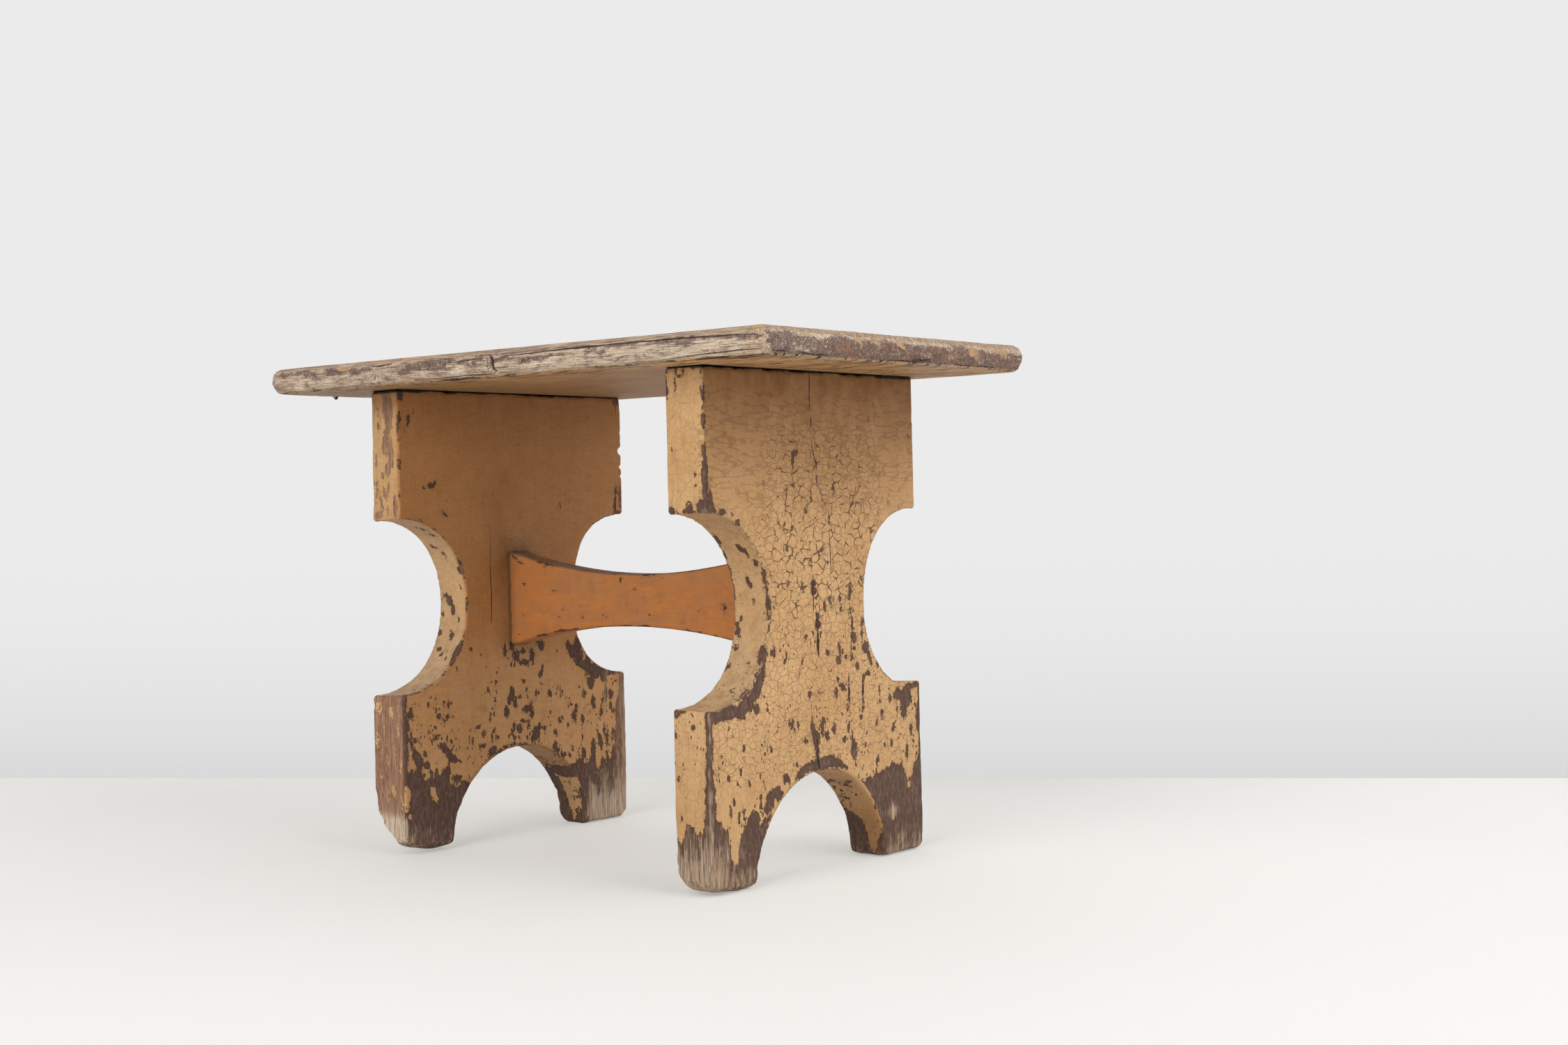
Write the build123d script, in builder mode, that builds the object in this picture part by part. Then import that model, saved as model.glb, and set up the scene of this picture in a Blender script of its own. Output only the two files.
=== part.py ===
"""A low wooden trestle stool: a seat board with rounded edges on two cut-out leg boards, a waisted
stretcher between them, and forged nails through the seat and the legs. Millimetres, +Z up. The origin
is on the floor under the middle of the seat, +X runs along the seat and the front edge lies at -Y."""

import os
from math import atan, degrees

from build123d import *

# Seat board
seat_length = 596.0
seat_depth = 364.0
seat_thickness = 24.0
seat_edge_radius = 11.0
front_right_corner_radius = 13.0
front_left_corner_radius = 18.0
back_right_corner_radius = 22.0
back_left_corner_radius = 20.0

# Leg boards
leg_spread = 398.0  # over the outer faces
leg_width = 282.0
leg_thickness = 38.0
leg_height = 416.0
scallop_radius = 78.0
scallop_height = 222.5  # of the side scallops' centres, on the board's edges
arch_radius = 85.0
scallop_corner_radius = 2.5
foot_corner_radius = 8.0
leg_arris_bevel = 1.2

# Wear under the front feet
left_foot_wear_width = 24.0
left_foot_wear_height = 58.0
left_foot_wear_bulge = 5.0
right_foot_wear_width = 12.0
right_foot_wear_height = 20.0
right_foot_wear_bulge = 3.5

# Stretcher
stretcher_thickness = 25.0
stretcher_end_height = 88.5
stretcher_waist_height = 47.0
stretcher_height = 224.0  # of its middle line
stretcher_set_back = 1.5  # behind the middle of the legs
stretcher_arris_bevel = 1.5

# Forged nails
nail_length = 64.0
nail_shank_width = 4.2
nail_point_width = 1.6
nail_head_radius = 4.5  # to the middle of a side
nail_head_bevel = 1.8
nail_head_height = 2.4
nail_head_sides = 8
nail_set_depth = 0.4  # of the head's top below the wood
nail_clearance = 0.12

# Places of the nails
seat_nail_inset = 37.0  # of the front and back nails from the leg's edges
stretcher_nail_drop = 4.0  # of the pair's middle below the stretcher's middle line
stretcher_nail_half_spread = 14.0
stretcher_nail_line = -2.5
stretcher_nail_stagger = 2.5  # the upper nail to the front and the lower to the back

cut_overrun = 1.0

leg_outer_x = leg_spread / 2
leg_inner_x = leg_outer_x - leg_thickness
leg_middle_x = leg_outer_x - leg_thickness / 2
seat_top = leg_height + seat_thickness
nail_tip_depth = nail_set_depth + nail_length


def taper(wide, narrow, length):
    """The angle, in degrees, by which half a width goes from wide to narrow over a length."""
    return degrees(atan((wide - narrow) / 2 / length))


def forged_nail():
    """A nail driven along +Z from a surface at z = 0, its bevelled head set just below it."""
    rim_depth = nail_set_depth + nail_head_height
    shank_length = nail_length - nail_head_height
    with BuildPart() as nail:
        with BuildSketch(Plane.XY.offset(nail_set_depth)):
            RegularPolygon(nail_head_radius, nail_head_sides, major_radius=False)
        extrude(amount=nail_head_height)
        chamfer(nail.faces().sort_by(Axis.Z)[0].edges(), nail_head_bevel)
        with BuildSketch(Plane.XY.offset(rim_depth)):
            Rectangle(nail_shank_width, nail_shank_width)
        shank_taper = taper(nail_shank_width, nail_point_width, shank_length)
        extrude(amount=shank_length, taper=shank_taper)
    return nail.part


def nail_hole():
    """The wood that a nail takes up, with the recess that its head has pressed in."""
    recess_depth = nail_set_depth + nail_head_height + nail_clearance
    shank_length = nail_tip_depth + nail_clearance - recess_depth
    hole_width = nail_shank_width + 2 * nail_clearance
    point_width = nail_point_width + 2 * nail_clearance
    with BuildPart() as hole:
        with BuildSketch(Plane.XY.offset(-cut_overrun)):
            RegularPolygon(nail_head_radius + nail_clearance, nail_head_sides, major_radius=False)
        extrude(amount=cut_overrun + recess_depth)
        with BuildSketch(Plane.XY.offset(recess_depth)):
            Rectangle(hole_width, hole_width)
        extrude(amount=shank_length, taper=taper(hole_width, point_width, shank_length))
    return hole.part


def seat_nail_places(side):
    """Front, middle and back nail of the leg on that side, down from the seat's top."""
    reach = leg_width / 2 - seat_nail_inset
    places = {}
    for name, row in (("front", -1), ("middle", 0), ("back", 1)):
        head = (side * leg_middle_x, row * reach, seat_top)
        places[name] = Plane(head, x_dir=(1, 0, 0), z_dir=(0, 0, -1)).location
    return places


def stretcher_nail_places(side):
    """Upper and lower nail of the stretcher's end on that side, in from the leg's outer face."""
    middle = stretcher_height - stretcher_nail_drop
    places = {}
    for name, step in (("upper", 1), ("lower", -1)):
        place_y = stretcher_nail_line - step * stretcher_nail_stagger
        place_z = middle + step * stretcher_nail_half_spread
        head = (side * leg_outer_x, place_y, place_z)
        places[name] = Plane(head, x_dir=(0, 1, 0), z_dir=(-side, 0, 0)).location
    return places


def foot_wear(plane, corner_x, inward, width, height, bulge):
    """The wood lost along the bottom edge at corner_x of a front foot, under a bulging line."""
    with BuildPart() as wear:
        with BuildSketch(plane):
            with BuildLine():
                outside = corner_x - inward * cut_overrun
                arc = SagittaArc((corner_x, height), (corner_x + inward * width, 0), -inward * bulge)
                Polyline(
                    arc @ 1,
                    (corner_x + inward * width, -cut_overrun),
                    (outside, -cut_overrun),
                    (outside, height),
                    arc @ 0,
                )
            make_face()
        extrude(amount=leg_width / 2 + cut_overrun)
    return wear.part


nail = forged_nail()
hole = nail_hole()
sides = (("left", -1), ("right", 1))
worn_feet = {
    "left": (-leg_outer_x, 1, left_foot_wear_width, left_foot_wear_height, left_foot_wear_bulge),
    "right": (leg_inner_x, 1, right_foot_wear_width, right_foot_wear_height, right_foot_wear_bulge),
}

os.makedirs("parts", exist_ok=True)

# Seat board, its edge rounded over above and below
with BuildPart() as seat_board:
    with BuildSketch(Plane.XY.offset(leg_height)) as seat_outline:
        Rectangle(seat_length, seat_depth)
        corners = (
            (1, -1, front_right_corner_radius),
            (-1, -1, front_left_corner_radius),
            (1, 1, back_right_corner_radius),
            (-1, 1, back_left_corner_radius),
        )
        for end, edge, radius in corners:
            corner = (end * seat_length / 2, edge * seat_depth / 2)
            fillet(seat_outline.vertices().sort_by_distance(corner)[0], radius)
    extrude(amount=seat_thickness)
    rims = seat_board.edges().group_by(Axis.Z)
    fillet(rims[0] + rims[-1], seat_edge_radius)
    for _, side in sides:
        with Locations(*seat_nail_places(side).values()):
            add(hole, mode=Mode.SUBTRACT)
seat_board.part.label = "seat_board"
export_step(seat_board.part, "parts/seat_board.step")

# Leg boards, waisted by two scallops and stood on two feet by an arch
for name, side in sides:
    near_x = side * leg_middle_x - leg_thickness / 2
    with BuildPart() as leg:
        with BuildSketch(Plane.YZ.offset(near_x)) as leg_outline:
            with Locations((0, leg_height / 2)):
                Rectangle(leg_width, leg_height)
            with Locations((-leg_width / 2, scallop_height), (leg_width / 2, scallop_height)):
                Circle(scallop_radius, mode=Mode.SUBTRACT)
            Circle(arch_radius, mode=Mode.SUBTRACT)
            levels = leg_outline.vertices().group_by(Axis.Y)
            fillet(levels[1] + levels[2], scallop_corner_radius)
            fillet(leg_outline.vertices().group_by(Axis.Y)[0], foot_corner_radius)
        extrude(amount=leg_thickness)
        broad_faces = leg.faces().sort_by(Axis.X)
        for face in (broad_faces[0], broad_faces[-1]):
            chamfer(face.edges().sort_by(Axis.Z)[:-1], leg_arris_bevel)
        add(foot_wear(Plane.XZ, *worn_feet[name]), mode=Mode.SUBTRACT)
        with Locations(*seat_nail_places(side).values(), *stretcher_nail_places(side).values()):
            add(hole, mode=Mode.SUBTRACT)
    leg.part.label = f"{name}_leg"
    export_step(leg.part, f"parts/{name}_leg.step")

# Stretcher, hollowed above and below, between the legs' inner faces
with BuildPart() as stretcher:
    with BuildSketch(Plane.XZ.offset(-stretcher_set_back - stretcher_thickness / 2)):
        with BuildLine():
            rise = stretcher_end_height / 2
            waist = stretcher_waist_height / 2
            top = ThreePointArc(
                (-leg_inner_x, stretcher_height + rise),
                (0, stretcher_height + waist),
                (leg_inner_x, stretcher_height + rise),
            )
            bottom = ThreePointArc(
                (-leg_inner_x, stretcher_height - rise),
                (0, stretcher_height - waist),
                (leg_inner_x, stretcher_height - rise),
            )
            Line(top @ 0, bottom @ 0)
            Line(top @ 1, bottom @ 1)
        make_face()
    extrude(amount=stretcher_thickness)
    chamfer(stretcher.edges().filter_by(GeomType.CIRCLE), stretcher_arris_bevel)
    for _, side in sides:
        with Locations(*stretcher_nail_places(side).values()):
            add(hole, mode=Mode.SUBTRACT)
stretcher.part.label = "stretcher"
export_step(stretcher.part, "parts/stretcher.step")

# Nails, each one piece
for name, side in sides:
    rows = {"seat_nail": seat_nail_places(side), "stretcher_nail": stretcher_nail_places(side)}
    for kind, places in rows.items():
        for spot, place in places.items():
            with BuildPart() as driven_nail:
                with Locations(place):
                    add(nail)
            driven_nail.part.label = f"{name}_{kind}_{spot}"
            export_step(driven_nail.part, f"parts/{name}_{kind}_{spot}.step")
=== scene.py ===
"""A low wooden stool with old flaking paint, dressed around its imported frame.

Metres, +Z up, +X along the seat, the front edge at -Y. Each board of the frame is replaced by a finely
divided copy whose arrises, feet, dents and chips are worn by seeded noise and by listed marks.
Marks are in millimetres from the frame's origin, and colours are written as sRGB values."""

import math

import bmesh
import bpy
import numpy as np
from mathutils import Matrix, Vector
from numpy import clip, exp, hypot, interp, maximum, minimum, where


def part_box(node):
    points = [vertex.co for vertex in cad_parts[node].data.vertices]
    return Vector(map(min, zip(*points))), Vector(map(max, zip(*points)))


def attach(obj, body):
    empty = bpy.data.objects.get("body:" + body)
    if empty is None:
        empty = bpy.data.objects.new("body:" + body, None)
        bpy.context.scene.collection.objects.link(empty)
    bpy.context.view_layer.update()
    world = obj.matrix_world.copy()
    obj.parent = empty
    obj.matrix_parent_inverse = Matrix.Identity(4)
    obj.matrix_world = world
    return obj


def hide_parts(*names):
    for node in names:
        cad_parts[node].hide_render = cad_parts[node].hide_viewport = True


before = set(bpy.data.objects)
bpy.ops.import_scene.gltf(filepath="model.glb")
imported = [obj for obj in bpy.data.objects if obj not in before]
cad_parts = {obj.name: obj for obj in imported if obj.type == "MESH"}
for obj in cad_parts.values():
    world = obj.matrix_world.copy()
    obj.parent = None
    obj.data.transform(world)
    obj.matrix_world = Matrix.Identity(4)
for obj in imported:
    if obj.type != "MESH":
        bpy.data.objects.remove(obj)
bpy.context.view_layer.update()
scene = bpy.context.scene

MM = 0.001
FAR = 10.0  # how far outside every mark a place counts as, in mm

# Camera, solved from the photograph's frame of 2250 by 1500
photo_width = 2250
photo_height = 1500
focal_pixels = 2961.95
sensor_width = 36.0
camera_place = Vector((1.2593, -1.3444, 0.3036))
camera_yaw = math.radians(39.180)
camera_pitch = math.radians(0.417)
camera_roll = math.radians(-1.232)
wall_line = 1117  # the photograph's row where the wall meets the floor

# Room and lights, in metres
room_half_width = 6.0
room_depth = 8.0
wall_height = 5.0
wall_shade_height = 0.29  # how high the wall is darker
soft_box = (2.0, 3.2)

# Fineness of the boards' meshes
leg_voxel = 1.6 * MM
stretcher_voxel = 1.3 * MM
seat_voxel = 2.4 * MM
seat_rise = 2.0  # the seat is meshed stretched up by this, for finer edges
weld_reach = 0.02 * MM
nail_hole_reach = 5.6 * MM  # from a nail's axis
dish_start = 28.0  # where the dish round a nail's head begins, in mm from the nail's middle
bulge_rounds = 14  # of averaging, to tell how sharply a surface bulges
nail_spots = {"seat": ("front", "middle", "back"), "stretcher": ("upper", "lower")}

# What the vertices tell the materials: lengths in mm, and shares from 0 to 1
LENGTHS = ("flaked", "bared", "check", "check_width")
SHARES = ("dirt_and_shade", "chipping", "crazing", "rosy", "worn_pale", "greyed", "creased", "amber")


def linear(red, green, blue):
    """A colour from sRGB values of 0 to 255."""
    values = []
    for value in (red, green, blue):
        share = value / 255
        values.append(share / 12.92 if share <= 0.04045 else ((share + 0.055) / 1.055) ** 2.4)
    return (*values, 1.0)


# Seeded noise for the meshes
def scramble(column, row, layer, seed):
    """A repeatable random value from 0 to 1 for each whole-number place."""
    with np.errstate(over="ignore"):
        mixed = column.astype(np.uint32) * np.uint32(374761393)
        mixed = mixed + row.astype(np.uint32) * np.uint32(668265263)
        mixed = mixed + layer.astype(np.uint32) * np.uint32(2246822519)
        mixed = mixed + np.uint32(seed) * np.uint32(3266489917)
        mixed = (mixed ^ (mixed >> np.uint32(13))) * np.uint32(1274126177)
        mixed = mixed ^ (mixed >> np.uint32(16))
    return mixed / 2.0**32


def smooth_noise(places, size, seed):
    """Smooth noise from -1 to 1 whose bumps have the given size, one number or one for each axis."""
    scaled = places / np.asarray(size, float)
    cell = np.floor(scaled).astype(np.int64)
    share = scaled - cell
    share = share * share * (3 - 2 * share)
    total = np.zeros(len(places))
    for step in np.ndindex(2, 2, 2):
        weight = np.ones(len(places))
        for axis in range(3):
            weight = weight * (share[:, axis] if step[axis] else 1 - share[:, axis])
        corner = cell + np.array(step)
        total += weight * scramble(*corner.T, seed)
    return total * 2 - 1


def rough_noise(places, size, seed, octaves=4):
    """Noise of several sizes, each half the last, from about -1 to 1."""
    total = np.zeros(len(places))
    for octave in range(octaves):
        total += smooth_noise(places, np.asarray(size, float) / 2**octave, seed + octave) / 2**octave
    return total / (2 - 0.5 ** (octaves - 1)) * 1.3


def crumbled(places, size, seed, share=0.62):
    """Places drawn towards the middles of small uneven lumps, so that what is worked out from them
    breaks along the lumps' edges, as brittle paint does."""
    cell = np.floor(places / size).astype(np.int64)
    nearest = np.full(len(places), np.inf)
    middle = places.copy()
    for step in np.ndindex(3, 3, 3):
        lump = cell + np.array(step) - 1
        spot = np.stack([scramble(*lump.T, seed + axis) for axis in range(3)], axis=1)
        spot = (lump + 0.1 + 0.8 * spot) * size
        distance = np.linalg.norm((spot - places) / size, axis=1)
        nearer = distance < nearest
        nearest = where(nearer, distance, nearest)
        middle[nearer] = spot[nearer]
    return places + share * (middle - places)


# Short words for values at the vertices
def ease(value, low, high):
    """0 below low, 1 above high and smooth between, or the other way round where low is above high."""
    share = clip((value - low) / (high - low), 0, 1)
    return share * share * (3 - 2 * share)


def most(*values):
    """The largest of the values at each place."""
    return np.maximum.reduce(np.broadcast_arrays(*values))


def only(here, value):
    """The value where here is true, and as far outside as can be elsewhere."""
    return where(here, value, -FAR)


def laid(first, *over):
    """Values with others laid over them one after the other, each given as where it lies and itself."""
    for here, value in over:
        first = where(here, value, first)
    return first


def split_open(checks, *splits):
    """Checks with black lines opened over them, each given as where it lies and its half width."""
    check, check_width = checks
    for here, half_width in splits:
        check = where(here, 0.0, check)
        check_width = where(here, half_width, check_width)
    return check, check_width


# Listed marks
def inside_marks(across, up, marks):
    """How far inside the nearest mark each place lies, in mm. A mark is its centre across and up, its
    half sizes and, where it leans, its lean in degrees."""
    best = np.full(len(across), -FAR)
    for centre_across, centre_up, half_across, half_up, *lean in marks:
        turn = math.radians(sum(lean))
        off_across, off_up = across - centre_across, up - centre_up
        along = off_across * math.cos(turn) + off_up * math.sin(turn)
        over = off_up * math.cos(turn) - off_across * math.sin(turn)
        inside = (1 - hypot(along / half_across, over / half_up)) * min(half_across, half_up)
        best = maximum(best, inside)
    return best


def inside_bands(across, up, bands):
    """The same for bands, each a list of places along its middle: across, up, half width."""
    best = np.full(len(across), -FAR)
    for band in bands:
        for (first_across, first_up, first_half), (next_across, next_up, next_half) in zip(band, band[1:]):
            run_across, run_up = next_across - first_across, next_up - first_up
            share = (across - first_across) * run_across + (up - first_up) * run_up
            share = clip(share / (run_across**2 + run_up**2), 0, 1)
            away = hypot(across - first_across - share * run_across, up - first_up - share * run_up)
            best = maximum(best, first_half + share * (next_half - first_half) - away)
    return best


def nearest_check(across, up, checks):
    """The distance across from the nearest check and its half width there, in mm. A check is a list
    of places (up, across, half width), from its lower end to its upper end."""
    distance = np.full(len(across), FAR)
    width = np.zeros(len(across))
    for check in checks:
        ups, acrosses, widths = zip(*check)
        offset = across - interp(up, ups, acrosses)
        here = interp(up, ups, widths, left=0, right=0)
        nearer = (here > 0) & (abs(offset) < abs(distance)) & (abs(offset) < FAR / 2)
        distance = where(nearer, offset, distance)
        width = where(nearer, here, width)
    return distance, width


# Finely divided boards
def add_object(name, data):
    made = bpy.data.objects.new(name, data)
    scene.collection.objects.link(made)
    return made


def nail_names(kind, *words):
    return [f"{word}_{kind}_nail_{spot}" for word in words for spot in nail_spots[kind]]


def nail_axes(names):
    """The place and direction of each named nail, from its node's box."""
    axes = []
    for name in names:
        low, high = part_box(name)
        size = high - low
        direction = Vector((1, 0, 0)) if size.x > size.z else Vector((0, 0, 1))
        axes.append(((low + high) / 2, direction))
    return axes


def fill_nail_holes(mesh, axes):
    """Closes the holes round the nails' axes, given as (place, direction), so that the skin is whole."""
    work = bmesh.new()
    work.from_mesh(mesh)
    bmesh.ops.remove_doubles(work, verts=work.verts, dist=weld_reach)
    for place, direction in axes:
        near = set()
        for vert in work.verts:
            off = vert.co - place
            if (off - direction * off.dot(direction)).length < nail_hole_reach:
                near.add(vert)
        walls = [face for face in work.faces if all(vert in near for vert in face.verts)]
        bmesh.ops.delete(work, geom=walls, context="FACES")
        rim = [edge for edge in work.edges if edge.is_boundary]
        bmesh.ops.holes_fill(work, edges=rim, sides=0)
    loose = [vert for vert in work.verts if not vert.link_faces]
    bmesh.ops.delete(work, geom=loose, context="VERTS")
    bmesh.ops.triangulate(work, faces=work.faces)
    work.to_mesh(mesh)
    work.free()


def unwrap(piece):
    """Lays the piece out flat while its faces are still smooth, so that an export has a clean map."""
    for other in bpy.context.selected_objects:
        other.select_set(False)
    piece.data.uv_layers.new(name="OFBake")
    bpy.context.view_layer.objects.active = piece
    piece.select_set(True)
    bpy.ops.object.mode_set(mode="EDIT")
    bpy.ops.mesh.select_all(action="SELECT")
    bpy.ops.uv.smart_project(angle_limit=math.radians(60), island_margin=0.002)
    bpy.ops.object.mode_set(mode="OBJECT")
    piece.select_set(False)


def fine_copy(node, voxel, nails, rise):
    """A new object with the node's shape in even small faces, meshed stretched up by rise."""
    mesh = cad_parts[node].data.copy()
    mesh.materials.clear()
    fill_nail_holes(mesh, nail_axes(nails))
    mesh.transform(Matrix.Diagonal((1, 1, rise, 1)))
    coarse = add_object(node + "_coarse", mesh)
    remesh = coarse.modifiers.new("fine", "REMESH")
    remesh.mode = "VOXEL"
    remesh.voxel_size = voxel
    remesh.use_smooth_shade = True
    fine = bpy.data.meshes.new_from_object(coarse.evaluated_get(bpy.context.evaluated_depsgraph_get()))
    fine.name = node + "_worn"
    fine.transform(Matrix.Diagonal((1, 1, 1 / rise, 1)))
    bpy.data.objects.remove(coarse)
    piece = add_object(node + "_worn", fine)
    unwrap(piece)
    return piece


class Skin:
    """A node's finely divided copy: its vertices in mm, their normals, and how sharply it bulges there."""

    def __init__(self, node, voxel, nails, rise=1.0):
        self.piece = fine_copy(node, voxel, nails, rise)
        self.mesh = self.piece.data
        self.low, self.high = (np.array(corner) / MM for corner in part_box(node))
        count = len(self.mesh.vertices)
        flat = np.empty(count * 3, np.float32)
        self.mesh.vertices.foreach_get("co", flat)
        self.places = flat.reshape(-1, 3).astype(float) / MM
        self.mesh.vertices.foreach_get("normal", flat)
        self.normals = flat.reshape(-1, 3).astype(float)
        edges = np.empty(len(self.mesh.edges) * 2, np.int32)
        self.mesh.edges.foreach_get("vertices", edges)
        self.edges = edges.reshape(-1, 2)
        self.links = np.bincount(self.edges.ravel(), minlength=count)[:, None]
        self.bulge = np.einsum("ij,ij->i", self.places - self.softened(bulge_rounds), self.normals)

    def softened(self, rounds):
        """The vertices' places after rounds of averaging with their neighbours."""
        values = self.places
        first, second = self.edges.T
        for _ in range(rounds):
            total = np.empty_like(values)
            for axis in range(3):
                column = values[:, axis]
                total[:, axis] = np.bincount(first, column[second], len(values))
                total[:, axis] += np.bincount(second, column[first], len(values))
            values = (values + total / self.links) / 2
        return values

    def rough(self, size, seed, octaves=4):
        return rough_noise(self.places, size, seed, octaves)

    def sink(self, depth):
        """Moves each vertex in by its depth, in mm."""
        self.places = self.places - self.normals * depth[:, None]

    def dish(self, nails, radius, depth):
        """Presses a shallow uneven dish into the wood round each nail's head."""
        for place, direction in nail_axes(nails):
            off = self.places - np.array(place) / MM
            way = np.array(direction)
            along = off @ way
            out = np.linalg.norm(off - along[:, None] * way, axis=1)
            uneven = out + 0.9 * self.rough(3, 55, 2)
            outside = abs(along) > dish_start
            self.sink(where(outside, depth * ease(uneven, radius, radius * 0.45), 0))

    def keep(self, room=(0, 0, 0)):
        """Keeps every vertex in the node's box, or in that much more, in mm."""
        self.places = clip(self.places, self.low - room, self.high + room)

    def note(self, fields):
        """Stores values at the vertices for the materials to read, and 0 for those that aren't given."""
        for names, low, high in ((LENGTHS, -FAR, FAR), (SHARES, 0, 1)):
            for name in names:
                values = clip(np.broadcast_to(fields.get(name, 0.0), len(self.places)), low, high)
                attribute = self.mesh.attributes.new(name, "FLOAT", "POINT")
                attribute.data.foreach_set("value", values.astype(np.float32))

    def write(self, material):
        """Writes the vertices back and gives the piece, with its material."""
        self.mesh.vertices.foreach_set("co", (self.places * MM).astype(np.float32).ravel())
        self.mesh.update()
        self.mesh.materials.append(material)
        return self.piece


# Materials
class Value:
    """A number that a node tree works out at every place. Reckoning with values adds the nodes for it."""

    def __init__(self, nodes, socket):
        self.nodes = nodes
        self.socket = socket

    def math(self, operation, other=0.0):
        return self.nodes.math(operation, self, other)

    def __add__(self, other):
        return self.math("ADD", other)

    def __sub__(self, other):
        return self.math("SUBTRACT", other)

    def __rsub__(self, other):
        return self.nodes.math("SUBTRACT", other, self)

    def __mul__(self, other):
        return self.math("MULTIPLY", other)

    def most(self, other):
        return self.math("MAXIMUM", other)

    def least(self, other):
        return self.math("MINIMUM", other)

    def ramp(self, low, high, start=0.0, end=1.0):
        """From start at low to end at high, smooth between."""
        inputs = (self, low, high, start, end)
        node = self.nodes.add("ShaderNodeMapRange", inputs, interpolation_type="SMOOTHSTEP")
        return Value(self.nodes, node.outputs[0])


class Nodes:
    """A node tree, put together by short calls."""

    def __init__(self, tree):
        self.tree = tree

    def feed(self, socket, value):
        """Gives a socket a value, or a link from the socket that has it."""
        if isinstance(value, Value):
            value = value.socket
        if isinstance(value, bpy.types.NodeSocket):
            self.tree.links.new(value, socket)
        else:
            socket.default_value = value

    def add(self, kind, inputs=(), **settings):
        """A new node. Its inputs come in order, or by their names."""
        node = self.tree.nodes.new(kind)
        for key, value in settings.items():
            setattr(node, key, value)
        named = inputs if isinstance(inputs, dict) else dict(enumerate(inputs))
        for key, value in named.items():
            self.feed(node.inputs[key], value)
        return node

    def math(self, operation, *values):
        return Value(self, self.add("ShaderNodeMath", values, operation=operation).outputs[0])

    def seen_directly(self):
        """1 for rays from the camera, from a mirror or through glass, which show a backdrop's own colour."""
        paths = self.add("ShaderNodeLightPath").outputs
        camera, glossy, through = (Value(self, paths[f"Is {kind} Ray"])
                                   for kind in ("Camera", "Glossy", "Transmission"))
        return camera.most(glossy).most(through)

    def blend(self, share, first, second):
        """A shader between the first nodes' and the second's."""
        return self.add("ShaderNodeMixShader", (share, first.outputs[0], second.outputs[0]))


class Finish(Nodes):
    """A procedural material. Lengths in it are in mm."""

    def __init__(self, name):
        self.material = bpy.data.materials.new(name)
        self.material.use_nodes = True
        super().__init__(self.material.node_tree)
        self.surface = self.tree.nodes["Principled BSDF"]
        place = self.add("ShaderNodeTexCoord").outputs["Object"]
        self.place = self.vector("SCALE", {0: place, "Scale": 1 / MM})

    def vector(self, operation, inputs):
        return self.add("ShaderNodeVectorMath", inputs, operation=operation).outputs[0]

    def mix(self, share, first, second):
        inputs = {"Factor": share, "A": first, "B": second}
        return self.add("ShaderNodeMix", inputs, data_type="RGBA", blend_type="MIX").outputs["Result"]

    def layers(self, colour, *over):
        """A colour with others laid over it one after the other, each given as its share and itself."""
        for share, other in over:
            colour = self.mix(share, colour, other)
        return colour

    def field(self, name):
        return Value(self, self.add("ShaderNodeAttribute", attribute_name=name).outputs["Fac"])

    def scaled(self, size, shift, place=None):
        """The place divided by a size in mm, one for each axis, and moved to a patch of its own."""
        shares = [1 / length for length in size]
        return self.vector("MULTIPLY_ADD", (place or self.place, shares, (shift, shift * 1.7, shift * 2.3)))

    def noise_node(self, size, shift, detail, roughness):
        inputs = {"Vector": self.scaled(size, shift), "Scale": 1.0, "Detail": detail, "Roughness": roughness}
        return self.add("ShaderNodeTexNoise", inputs)

    def noise(self, size, shift=0.0, detail=3.0, roughness=0.55):
        """Noise about 0.5, from about 0.2 to 0.8."""
        return Value(self, self.noise_node(size, shift, detail, roughness).outputs["Fac"])

    def wandered(self, size, amount, shift=0.0):
        """The place pushed about by a noise of that size, by up to about the amount, in mm."""
        colour = self.noise_node((size, size, size), shift, 2.0, 0.5).outputs["Color"]
        push = self.vector("SUBTRACT", (colour, (0.5, 0.5, 0.5)))
        push = self.vector("SCALE", {0: push, "Scale": amount * 2})
        return self.vector("ADD", (self.place, push))

    def cells(self, size, feature, place, shift):
        inputs = {"Vector": self.scaled(size, shift, place), "Scale": 1.0}
        return self.add("ShaderNodeTexVoronoi", inputs, feature=feature)

    def cell_value(self, size, place, shift=0.0):
        """One random value for each cell."""
        colour = self.cells(size, "F1", place, shift).outputs["Color"]
        return Value(self, self.add("ShaderNodeSeparateColor", (colour,)).outputs[0])

    def seams(self, size, place, shift=0.0):
        """The distance from the nearest seam between cells, in shares of a cell."""
        return Value(self, self.cells(size, "DISTANCE_TO_EDGE", place, shift).outputs["Distance"])

    def finish(self, colour, roughness, height, specular=0.3):
        """Sets the surface. The height is in mm."""
        bump = self.add("ShaderNodeBump", {"Strength": 1.0, "Distance": MM, "Height": height})
        wanted = {"Base Color": colour, "Roughness": roughness, "Specular IOR Level": specular,
                  "Normal": bump.outputs["Normal"]}
        for name, value in wanted.items():
            self.feed(self.surface.inputs[name], value)
        return self.material

    def shown(self, colour, share):
        """The surface, with a share of its own colour shown whatever light falls on it."""
        own = self.add("ShaderNodeEmission", {"Color": colour})
        return self.blend(self.seen_directly() * share, self.surface, own)

    def output(self, shader):
        self.feed(self.tree.nodes["Material Output"].inputs["Surface"], shader.outputs[0])
        return self.material


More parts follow.
